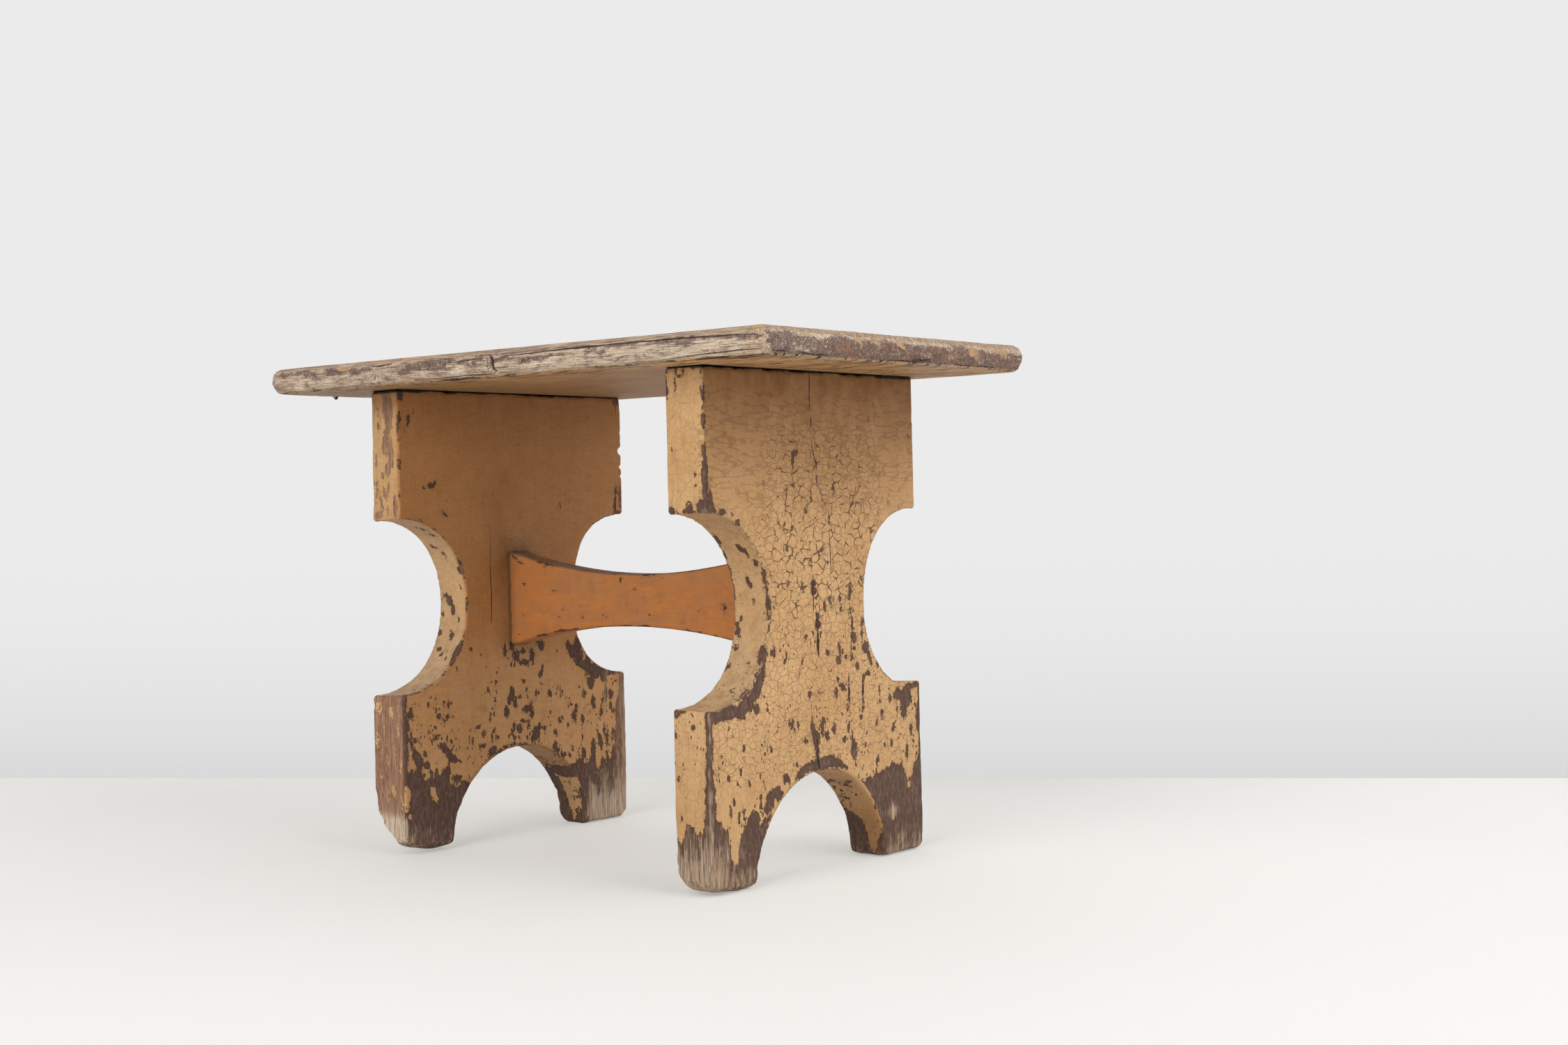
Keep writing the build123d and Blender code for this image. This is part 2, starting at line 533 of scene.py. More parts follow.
def painted_wood(name, grain, paint, paint_light, dirt_and_shade_tint, undercoat, undercoat_pale, wood, wood_pale,
                 crease_size, crack_depth=0.85, fine_cracks=1.0, roughness_relief=0.3, speckle=0.0,
                 shift=0.0):
    """Paint over an older dark coat over weathered wood. The fields say where each has gone, and the
    grain is the number of the axis that it runs along."""
    nodes = Finish(name)
    missing, bared, check, check_width = map(nodes.field, LENGTHS)
    dirt_and_shade, chipping, crazing, rosy, worn_pale, greyed, creased, amber = map(nodes.field, SHARES)

    def along_grain(across, along):
        """Sizes for the three axes, with the second along the board's grain."""
        return tuple(along if index == grain else across for index in range(3))

    def noise(across, along, spot, detail, roughness=0.55):
        return nodes.noise(along_grain(across, along), shift + spot, detail, roughness)

    # Where the paint has gone: inside the placed marks, along the edges of small cells, and in chips
    jogged = nodes.wandered(3.0, 1.3, shift + 7)
    cell = nodes.cell_value(along_grain(2.2, 3.6), jogged, shift + 5)
    ragged = noise(1.3, 2.0, 3, 3.0, 0.65)
    edge = missing * 1.8 + cell * 2.8 - 1.4 + (ragged - 0.5) * 4.0
    likely = chipping * noise(22, 30, 11, 2.0).ramp(0.45, 0.68, 0.0, 2.2)
    large = likely - nodes.cell_value(along_grain(2.8, 5.0), jogged, shift)
    small = likely - nodes.cell_value(along_grain(1.3, 2.1), jogged, shift + 9)
    gone = edge.most(large.most(small) * 40.0).ramp(-0.15, 0.15)
    # the paint's edge round each flake, for its relief and for a painted shadow along it
    rim = edge.ramp(-1.3, -0.1) * edge.ramp(0.2, -0.1)

    # Where the older coat has gone too, in streaks along the grain
    fibre = noise(1.2, 22, 17, 4.0, 0.7)
    coarse_fibre = noise(4.0, 50, 19, 2.0, 0.5)
    scuffs = noise(5, 9, 21, 4.0, 0.6)
    worn = ((fibre - 0.5 + (scuffs - 0.5)) * 9.0 + bared).ramp(-2.2, 2.2)

    # The paint's own cracks
    craze_place = nodes.wandered(4.0, 1.1, shift + 23)
    breaks = nodes.noise((8, 8, 8), shift + 29, 1.0)
    wide_seams = nodes.seams(along_grain(10.5, 8.6), craze_place, shift + 31)
    wide_cracks = (wide_seams - crazing * breaks.ramp(0.38, 0.64, 0.0, 0.056)).ramp(0.012, -0.014)
    thin_seams = nodes.seams(along_grain(7.4, 5.6), craze_place, shift + 37)
    thin_cracks = (thin_seams - breaks.ramp(0.7, 0.3, 0.012, 0.05) * fine_cracks).ramp(0.02, -0.02)
    thin_cracks = thin_cracks * crazing.ramp(0.0, 0.3, 0.06, 0.5)
    crease_seams = nodes.seams(crease_size, nodes.wandered(9.0, 1.6, shift + 33), shift + 39)
    crease_width = nodes.noise(crease_size, shift + 35, 1.0).ramp(0.4, 0.62, 0.0, 0.12)
    creases = (crease_seams - crease_width).ramp(0.02, -0.02) * creased
    cracks = wide_cracks.most(thin_cracks).most(creases)

    # Splits in the board along their placed lines, and painted shadow in gaps between parts
    split_width = check_width * fibre.ramp(0.3, 0.7, 0.35, 1.5)
    split_and_gap_shadow = (check.math("ABSOLUTE") - split_width).ramp(0.2, -0.2) * check_width.math("GREATER_THAN", 0.02)

    # The paint's colour
    broad = nodes.noise((55, 55, 55), shift + 41, 3.0)
    brushed = noise(1.1, 26, 43, 3.0, 0.6)
    specks = nodes.noise((0.9, 0.9, 0.9), shift + 47, 2.0)
    stains = nodes.noise((10, 10, 12), shift + 51, 4.0, 0.62)
    grime_and_shade = dirt_and_shade * nodes.noise((16, 16, 22), shift + 53, 4.0, 0.6).ramp(0.3, 0.7, 0.86, 1.1)
    coat = nodes.layers(
        nodes.mix(broad.ramp(0.32, 0.68), paint, paint_light),
        (brushed.ramp(0.4, 0.75, 0.0, 0.22), dirt_and_shade_tint),
        (stains.ramp(0.5, 0.78, 0.0, 0.3), dirt_and_shade_tint),
        (stains.ramp(0.42, 0.2, 0.0, 0.3), paint_light),
        (specks.ramp(0.72, 0.78, 0.0, 0.6), undercoat),
        (greyed, nodes.mix(stains.ramp(0.3, 0.7), linear(186, 164, 132), linear(146, 122, 96))),
        (amber, linear(180, 110, 44)),
        # dirt with painted shade laid over the paint
        (grime_and_shade.least(1.0), dirt_and_shade_tint),
        (cracks * crack_depth, linear(54, 33, 18)),
        # painted shadow along the paint's edge round each flake
        (rim * 0.4, linear(92, 60, 38)),
    )

    # The older coat's and the wood's
    mottle = noise(2.6, 7, 59, 4.0, 0.65)
    grains = noise(1.9, 2.8, 63, 3.0, 0.7)
    lines = noise(0.9, 30, 61, 3.0, 0.6)
    patchy = stains.ramp(0.36, 0.58, 0.25, 1.0)
    old = nodes.layers(
        nodes.mix(mottle.ramp(0.4, 0.78), undercoat, undercoat_pale),
        (grains.ramp(0.53, 0.64, 0.0, speckle) * patchy, linear(204, 176, 144)),
        # painted shadow of the paint's thickness on the older coat by each flake's edge
        (edge.ramp(5.5, 1.5, 0.0, 0.75), linear(84, 58, 42)),
        (rosy * 0.9, nodes.mix(mottle.ramp(0.35, 0.7), linear(128, 88, 66), linear(160, 120, 94))),
        (worn_pale * patchy * specks.ramp(0.54, 0.66, 0.0, 0.8), linear(206, 196, 184)),
    )
    bare = nodes.layers(
        nodes.mix((fibre + (coarse_fibre - 0.5) * 0.6).ramp(0.3, 0.74), wood, wood_pale),
        (rosy * 0.85, nodes.mix(fibre.ramp(0.35, 0.7), linear(136, 96, 74), linear(172, 134, 106))),
        (worn_pale * 0.7, nodes.mix(fibre.ramp(0.3, 0.6), linear(186, 160, 132), linear(222, 206, 184))),
        (grains.ramp(0.43, 0.33, 0.0, speckle), linear(98, 76, 64)),
        (lines.ramp(0.56, 0.68, 0.0, 0.75), linear(88, 64, 50)),
    )
    fringe = edge.ramp(0.1, 0.4) * edge.ramp(3.0, 1.0) * specks.ramp(0.56, 0.64)
    under = nodes.layers(
        nodes.mix(worn, old, bare),
        (fringe * missing.ramp(1.2, 2.5, 0.1, 0.6), linear(196, 172, 142)),
        # dirt with painted shade over the older coat and the wood
        (dirt_and_shade * 0.55, linear(56, 40, 28)),
    )
    colour = nodes.layers(coat, (gone, under), (split_and_gap_shadow * 0.93, linear(30, 21, 17)))

    # Relief in mm: the coat's thickness, cracks, grain and splits
    height = gone * -0.3 + rim * 0.14 + cracks * (1.0 - gone) * -0.22
    height = height + fibre * gone.ramp(0.0, 1.0, 0.08, 0.5) + scuffs * roughness_relief
    height = height + lines.ramp(0.56, 0.68) * (gone * -0.35)
    height = height + brushed * 0.08 + specks * 0.08 + split_and_gap_shadow * -1.2
    return nodes.finish(colour, gone.ramp(0.0, 1.0, 0.62, 0.86), height)


def rusty_iron(name, coated):
    """Forged nail heads, rusted, with the board's paint left round the heads where coated is above 0."""
    nodes = Finish(name)
    blotch = nodes.noise((2.2, 2.2, 2.2), 5, 4.0, 0.65)
    pits = nodes.noise((0.7, 0.7, 0.7), 9, 3.0, 0.6)
    left = blotch.ramp(0.56 - coated * 0.2, 0.58 - coated * 0.2, coated, 0.0)
    colour = nodes.layers(
        nodes.mix(blotch.ramp(0.38, 0.66), linear(44, 31, 26), linear(98, 62, 42)),
        (pits.ramp(0.6, 0.75, 0.0, 0.8), linear(128, 82, 52)),
        (left, linear(178, 138, 94)),
    )
    nodes.surface.inputs["Metallic"].default_value = 0.15
    return nodes.finish(colour, pits.ramp(0.3, 0.7, 0.6, 0.85), left * 0.15 + pits * 0.35)


dark_wood = linear(112, 86, 68)
pale_wood = linear(182, 156, 128)


# Legs
leg_low, leg_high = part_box("right_leg")
leg_half = leg_high.y / MM
leg_top = leg_high.z / MM
leg_outer = leg_high.x / MM
leg_inner = leg_low.x / MM
leg_middle = 180.0
scallop_radius = 78.0
scallop_height = 222.5
arch_radius = 85.0
arch_top = 86.0  # what lies lower and near the arch is inside it
lobe_top = 150.0  # what lies lower belongs to the feet's lobes
neck_bottom = 296.0  # what lies higher belongs to the board's upper end
skin_reach = 2.5  # what lies within this from a face is on it
face_reach = 5.0  # the same, with the arris
stretcher_y = 1.5
stretcher_z = 224.0
stretcher_half_thick = 12.5
stretcher_half_tall = 44.0

# A front foot rests on one spot and rises round it: the spot's X and Y, the rise per mm
front_rests = {1: (186, -100, 0.11), -1: (-186, -98, 0.25)}
rest_reach = 8.0
foot_height = 40.0
foot_rounding = 8.0

# Marks are (across, up, half across, half up, lean). Those on the broad faces run along Y and up Z
right_outer_flakes = (
    (-30.5, 343, 1.6, 6.5), (-26.5, 348.5, 3, 2.5, 20), (1, 327, 1.6, 2.6), (23, 319, 2.2, 2.7),
    (56, 306, 2.4, 1.5), (-42, 289, 1.7, 3.8), (-51, 290, 1.3, 3.2), (-101, 292, 2.6, 3.6, 15),
    (-121, 300, 5, 2.8), (-109.5, 299, 1.6, 1.4), (-136, 303, 8, 6, 10), (-133, 312, 2.4, 5),
    (-139, 340, 2.6, 4), (-138.5, 322, 3.2, 9), (-140, 372, 2.2, 5), (-139.5, 392, 2, 5),
    (-68, 243, 2.2, 9), (-78, 266, 2.6, 3.4), (-75, 258, 1.8, 4), (-65, 221, 2, 4.2),
    (-67, 208, 1.6, 3.4), (-6.5, 240, 3.6, 2.2), (-6, 236, 2, 6), (43, 231, 2.4, 6.8, -8),
    (29, 225, 2, 4.2), (8, 221, 2.2, 4.6, 8), (29, 217, 1.5, 3.4), (-2, 208, 2.6, 7), (-2, 190, 2, 7),
    (47, 192, 3.8, 5.4, 10), (45.5, 203, 1.5, 6), (65, 184, 4.6, 5, 20), (61, 204, 1.7, 4.4),
    (60, 192, 1.5, 5), (71, 175, 2.6, 6.4, 25), (10.5, 182, 2.4, 3.7, 25), (26, 174, 3.8, 4, 20),
    (26.5, 184, 1.5, 7), (46, 183, 3.2, 1.6), (43.5, 176, 1.9, 3.4), (51, 168, 2.4, 4.6),
    (66, 161, 3.8, 2.2), (-60, 187, 2.7, 5.4), (-18.5, 197, 1.9, 2.5), (-39.5, 241, 1.9, 2.6),
    (21, 147.5, 2.9, 4), (30, 152, 5.4, 3.4, -35), (24, 158, 1.5, 2.4), (38.5, 148, 1.5, 9),
    (58.5, 146, 1.8, 9), (57.5, 131, 1.6, 4.4), (-7, 112, 5.4, 6), (-11.5, 122, 2.8, 8, 10),
    (2, 121, 3, 8, -10), (-7, 103, 2.6, 7), (-4, 94, 1.7, 8), (7.5, 113, 2.6, 5), (17, 117, 3.2, 4.4),
    (31, 107, 3.4, 2.8), (37, 116, 1.8, 4.4), (-30.5, 124, 1.7, 4), (-20.5, 111, 3.2, 2.3),
    (-33, 93, 2, 2.6), (44.5, 97, 4.8, 8.4), (46, 85, 1.7, 5), (42, 108, 1.6, 6), (12, 91.5, 7, 4.2),
    (23, 88, 5.4, 2.6), (-20, 88.5, 12, 4, 16), (-62, 73, 8.5, 5, 12), (-47, 83, 4.6, 4.2),
    (-54, 68, 5, 6.4), (-71, 63, 5, 6), (-88, 57, 7, 5), (-74, 48, 4, 8), (-89, 45, 9, 7),
    (82, 145, 1.7, 3.8), (77, 119, 1.6, 3.9), (85, 124, 2.4, 4.4), (97, 137, 2.8, 4),
    (100, 111, 1.9, 2.8), (88, 96.5, 2.4, 2.4), (98, 97, 1.9, 3.4), (77, 85, 2.1, 3.9),
    (60, 158, 1.6, 3.4), (119, 134, 8, 10), (108, 140, 5, 5.4), (131, 142, 8, 3.4), (117, 122, 4, 6),
    (138, 116, 3.6, 14), (127, 106, 1.8, 4.4), (120, 88, 2, 7), (-84, 158, 5, 6.4, -35),
    (-92, 148, 7, 5.4, -35), (-83, 143, 4, 4.6), (-105, 141, 9, 4, -10), (-122, 141, 8, 3),
    (-104, 96, 1.3, 2.2), (-93, 84, 1.6, 2.8), (-117, 66, 1.5, 6), (-107, 58, 1.8, 6), (-101, 62, 1.4, 5),
    (-58, 121, 1.3, 1.8), (111, 60, 3, 7),
)
# Ragged bands on the same face, under the front scallop and over the arch: across, up, half width
right_outer_bands = (
    ((-141, 139, 4), (-122, 141.5, 4.4), (-104, 144, 5), (-92, 149, 5.6), (-82, 158, 5), (-75, 172, 3),
     (-70, 188, 1.2)),
    ((-141, 300, 6), (-139, 311, 3.4), (-141, 324, 4.6), (-139, 338, 3.4), (-141, 353, 1.8)),
    ((-141, 365, 1.2), (-140, 372, 3), (-141, 380, 1.4)),
    ((-141, 389, 1.2), (-140.5, 395, 2.6), (-141, 401, 1)),
    ((-42, 76, 1.6), (-28, 83.5, 3.4), (-14, 88, 4.6), (-2, 90, 4.8), (10, 91, 4.6), (22, 89, 3.4),
     (34, 83, 1.4)),
)
# Checks on the same face: up, across, half width
right_outer_checks = (
    ((384, -7, 0.2), (395, -7, 0.55), (408, -6.3, 0.6), (414, -6, 0.5)),
    ((369, -5.2, 0.2), (374, -5.2, 0.85), (379, -5.4, 0.2)),
    ((334, 1.2, 0.2), (340, 0.2, 0.8), (352, -4.5, 0.35), (360, -5.5, 0.3)),
    ((247, 17.5, 0.2), (262, 17.2, 0.5), (283, 16, 0.3)),
    ((288, 16.5, 0.3), (294, 16, 0.8), (300, 16, 0.3)),
    ((216, -7.2, 0.25), (228, -7, 0.8), (236, -6.5, 0.9), (248, -6.6, 0.3)),
    ((178, -1.5, 0.3), (190, -2, 1), (206, -2, 1.3), (216, -3, 0.4)), ((100, -4, 0.6), (112, -6, 0.4)),
    ((86, -4, 1), (94, -5, 0.8), (101, -6.5, 0.5)), ((130, 39, 0.2), (146, 38.5, 0.7), (163, 39, 0.3)),
    ((132, 57.5, 0.2), (150, 58.5, 0.8), (160, 58, 0.2)),
    ((178, 42, 0.3), (204, 45.5, 0.6), (222, 42, 0.3)),
)
left_inner_flakes = (
    (-128.5, 389, 1.3, 4.4), (-103, 330, 4.2, 2.8, -15), (-109, 328, 3, 1.3), (-99, 333, 2, 2),
    (-112, 338.5, 1.4, 1.5), (-89, 304, 3.4, 1.4, -40), (4, 331, 1.2, 1.5), (59, 309, 1.1, 1.8),
    (93, 280, 2.8, 2.4), (-138, 411, 4.5, 5), (135, 412, 4.4, 4), (133, 302, 5, 2), (130.5, 308, 1.6, 6),
    (132, 324, 1.4, 7), (138, 316, 1.6, 9), (-129, 298, 5, 1.8), (-119, 296.5, 4, 1.5),
    (-18, 175, 2.4, 6.4), (-9, 179, 3.6, 5), (-4, 170, 4.6, 5, -20), (7, 163, 8, 3.4), (17, 168, 3.2, 7),
    (5, 174, 2.5, 3), (29, 177, 5, 4.4, 20), (24, 183, 3, 3), (74, 172, 4.4, 9, 10), (80, 164, 4, 5),
    (92, 156, 3.4, 9, 25), (100, 149, 6, 5), (95, 136, 3.4, 6), (89, 146, 2, 4), (27, 150, 3.2, 3.2),
    (30, 156, 1.6, 3), (6, 146, 2.2, 2), (-10, 135, 3.6, 6), (-6, 126, 2.5, 5.4), (-14, 128, 2, 3),
    (0, 131, 1.8, 1.5), (21, 131, 1.6, 3.3), (38.5, 131, 2.5, 3.8), (54, 131, 1.8, 4.2),
    (78, 134, 1.8, 1.8), (85, 127, 2.3, 4.4), (-17, 118, 3.7, 4.6), (9, 119, 6.4, 2.8, 10),
    (15, 115, 3, 5), (14, 121, 2, 4.5), (64, 118, 1.6, 3.4), (74, 113, 1.8, 4.8), (71, 107, 2.8, 7),
    (82, 102, 2.2, 3.8), (-88, 130.5, 3, 3), (-94, 118, 0.9, 3), (-100.5, 121.5, 2.4, 2.8),
    (-90, 120, 2.4, 2), (-83.5, 119.5, 2, 1.6), (-38, 115, 1.3, 3.4), (-9, 104, 3, 5), (-1, 102, 4.6, 4),
    (3, 108, 3, 2), (10, 104, 2.1, 3.4), (20, 95, 4.4, 6), (24, 101, 3, 3), (16, 90, 3, 3),
    (31, 99, 2.2, 2.3), (53, 104, 3.2, 2.7), (46, 93, 2.3, 3.4), (-54, 108, 3.2, 2.2),
    (-47, 101, 2.7, 2.7), (-36, 97, 1.5, 3.4), (-12, 96, 3.2, 1.8), (-7, 93, 1.8, 3.4),
    (-138, 104, 2.6, 2), (-128, 102.5, 2.8, 2.4, 20), (-105, 101.5, 3, 1.2, 15),
    (-87, 106.5, 2.8, 1.1, 30), (-99, 104.5, 2.6, 0.9), (-48, 89, 4, 1.8), (-117, 90, 1.8, 3),
    (-132.5, 107, 0.9, 4), (-81, 64, 6, 4, 8), (-36, 84, 6, 4, 25), (45, 76, 4, 8), (55, 70, 3, 3),
    (64, 69, 2.2, 3.4, 10), (83, 70, 2.6, 6), (96, 73, 3.4, 8), (97.5, 117, 2.4, 7), (107.5, 106, 2.2, 5),
    (109.5, 117, 1.4, 7), (121, 123, 3.4, 4.5), (120.5, 112, 2.6, 4), (124.5, 108, 1.6, 3),
    (111, 90, 1.8, 5), (106, 78, 2.4, 9, 10), (115, 82, 1.8, 9), (122, 88, 1.2, 12), (93, 137, 3, 6),
    (100, 144, 7, 5), (109, 149, 9, 3), (114.5, 131, 1.8, 20), (-133, 128, 3.2, 6), (-137, 116, 2.4, 5),
    (-60, 180, 1.7, 1.7), (-30, 95, 1.4, 2), (-64, 96, 1.3, 1.8), (-52, 52, 4, 9), (-33, 103, 1.2, 2),
    (112, 142, 4, 4), (125, 146, 9, 2.6), (-44, 138, 1.2, 1.2), (40, 112, 1.3, 2.2), (62, 98, 1.6, 2.4),
)
left_inner_bands = (
    ((-141, 400, 1), (-139, 392, 2.2), (-141, 380, 0.6)),
    ((-52, 69, 1.6), (-40, 77, 2.2), (-26, 83, 1.4), (-12, 87, 1.8), (0, 88, 1)),
    ((62, 176, 2), (70, 166, 4.6), (80, 157, 3.4), (94, 150, 4.4), (108, 146, 3.2), (124, 144, 2)),
    ((-134, 104, 0.8), (-132, 97, 1.8), (-129, 90, 3.4), (-125, 86.5, 4.6), (-121, 81, 3),
     (-116, 79, 3.4), (-113, 83, 0.8)),
    ((-127, 84, 1.6), (-123, 77, 2.2), (-126, 71, 3.4)),
    ((-101, 94.5, 0.8), (-95, 93.5, 2.2), (-91, 88, 2.6), (-87, 83.5, 3.4), (-81, 80, 2.8),
     (-75, 77, 1.2)),
)
left_inner_checks = (
    ((203, -34, 0.3), (230, -33, 0.5), (250, -34, 0.4), (285, -33, 0.2)),
    ((302, 131.5, 0.4), (314, 131, 0.7), (328, 132, 0.3)),
    ((398, 134, 0.2), (404, 134.5, 0.5), (410, 134.5, 0.4)),
)
# Islands of paint left on the worn front foot of the left leg
left_inner_islands = (
    (-109, 53, 3.8, 7, 15), (-139, 52, 3.8, 13), (-104, 46, 1.6, 4, 20), (-137, 33, 2.2, 5),
    (124.5, 95, 3, 9.5), (124, 77, 2.2, 8), (119.5, 69, 1.8, 9), (112, 64, 1.8, 7), (103, 57, 1.8, 6),
    (-79, 58, 6, 2.2, 8), (-87, 63, 2, 6), (-93, 51, 1.4, 3.4), (62, 62, 3, 3.4), (84, 62, 1.6, 4),
    (-120, 72, 4, 2.4, 10), (-99, 50, 1.2, 2.4),
)
# How high the feet are worn through the paint on the seen faces: across, up
right_foot_line = (
    (-141, 62), (-128, 56), (-121, 52), (-117, 26), (-110, 22), (-106, 44), (-98, 52), (-86, 54),
    (40, 60), (50, 74), (60, 68), (76, 75), (98, 78), (112, 84), (122, 58), (130, 78), (141, 92),
)
left_foot_line = (
    (-141, 70), (-134, 76), (-131, 74), (-127, 80), (-121, 72), (-117, 66), (-113, 67), (-111, 79),
    (-108.5, 66), (-104, 77), (-100, 64), (-97, 74), (-89, 75), (-87, 60), (-83, 58), (-76, 60),
    (-60, 56), (-50, 50), (50, 52), (60, 62), (68, 60), (76, 66), (80, 62), (83, 72), (87, 60), (91, 60),
    (96, 74), (101, 54), (104, 52), (107, 66), (111, 60), (113, 70), (118, 62), (121, 70), (125, 76),
    (128, 84), (129.5, 98), (131, 112), (135, 130), (138, 142), (141, 150),
)
right_front_line = ((161, 58), (166, 40), (175, 56), (184, 50), (190, 54), (199, 64))
# On the narrow front faces and the front scallops the marks run along X and up Z
right_front_flakes = (
    (163.5, 411.5, 1.6, 2.4), (171.5, 403, 0.8, 3.4), (190, 414, 1.8, 2), (162.5, 397, 1.6, 4),
    (163, 303, 3, 3.4), (168, 302, 5, 1.6), (183, 305, 3.4, 4.4), (181, 302, 6, 1.6), (195, 304, 4.4, 6),
    (167, 352, 1.2, 1.7), (190, 341, 1.3, 1.8), (190, 331, 1.2, 1.7), (190, 322, 1.2, 1.6),
    (162, 402, 1.4, 6), (182, 133, 1.8, 2.3), (166, 92, 1.5, 2.2), (164, 141, 4, 4.4),
    (171, 143.5, 4, 1.6), (163, 125, 1.3, 6), (168, 60, 1.7, 2.4),
)
right_front_ring = (
    ((171.6, 415, 0.8), (172.2, 411.5, 0.9), (174, 409, 1), (176.4, 408.3, 1), (178.8, 409.4, 1),
     (180.2, 412, 0.9), (180.4, 415, 0.8)),
)
left_front_flakes = (
    (-180, 405, 3.5, 13), (-174, 396, 6, 18), (-179, 372, 4, 12, -12), (-172, 360, 4, 14),
    (-176, 346, 4, 7), (-190, 384, 2, 4), (-193, 352, 1.8, 6), (-185, 340, 3, 2.4), (-193, 328, 1.8, 6),
    (-181, 322, 2, 7, 20), (-188, 318, 2.2, 5), (-176, 328, 1.5, 5), (-187, 308, 1.8, 6),
    (-178, 309, 1.5, 4), (-167, 312, 2.6, 9), (-193, 305, 3, 3),
)
left_front_rags = (
    (-192, 133, 4.5, 7), (-177, 129, 3.6, 7, 15), (-167, 134, 3, 9), (-186, 112, 2, 6),
    (-195, 103, 2.4, 9), (-175, 100, 1.6, 8), (-169, 112, 2, 8), (-182, 84, 2.2, 7, 10),
    (-166, 78, 2.4, 12), (-191, 70, 1.7, 6), (-176, 57, 3, 7), (-166, 48, 2.4, 9),
)
right_scallop_flakes = (
    (185, 270, 5.6, 2.6, -40), (180, 244, 2.4, 5, 20), (165.5, 205, 2.4, 6, 25), (167, 190, 3.4, 2.6),
    (193, 260, 2.2, 3), (163, 278, 3.4, 5), (162, 266, 2.6, 5), (162, 252, 2, 6), (161.5, 236, 1.6, 9),
    (197, 226, 2.2, 8), (196, 186, 4, 7), (168, 214, 1.5, 2), (197, 244, 1.4, 8), (164, 176, 2, 3),
)
left_scallop_flakes = (
    (-186, 224, 5, 5, 30), (-181, 217, 3.4, 6), (-190, 229, 4, 2.4), (-196, 195, 3, 3),
    (-178, 193, 4.4, 3), (-177, 267, 2, 3.6, 20), (-186, 273, 4.6, 1.5, -25), (-166, 252, 2, 3.4),
    (-178, 290, 6, 1.4, -12), (-172, 284, 4, 1.3, -15), (-190, 181, 3, 2), (-183, 178, 2, 2.4),
    (-168, 236, 1.6, 2), (-164, 178, 3, 7), (-172, 206, 1.4, 2), (-195, 212, 1.6, 2.4),
)
leg_marks = {
    1: (right_outer_flakes, right_outer_bands, right_front_flakes, right_scallop_flakes, right_foot_line),
    -1: (left_inner_flakes, left_inner_bands, left_front_flakes, left_scallop_flakes, left_foot_line),
}
# Dark runs in the bare back foot of the left leg: Y, Z, half sizes, lean
left_foot_runs = ((86, 34, 3, 15), (98, 42, 4, 5), (102, 34, 2.4, 9), (93, 52, 12, 4, 6))
# Notches in the left leg's upper back arris: height, half height, depth
left_back_notches = ((363, 3.5, 3.4), (347, 1.8, 1.8), (338, 1.4, 1.4), (381, 1.2, 0.8))


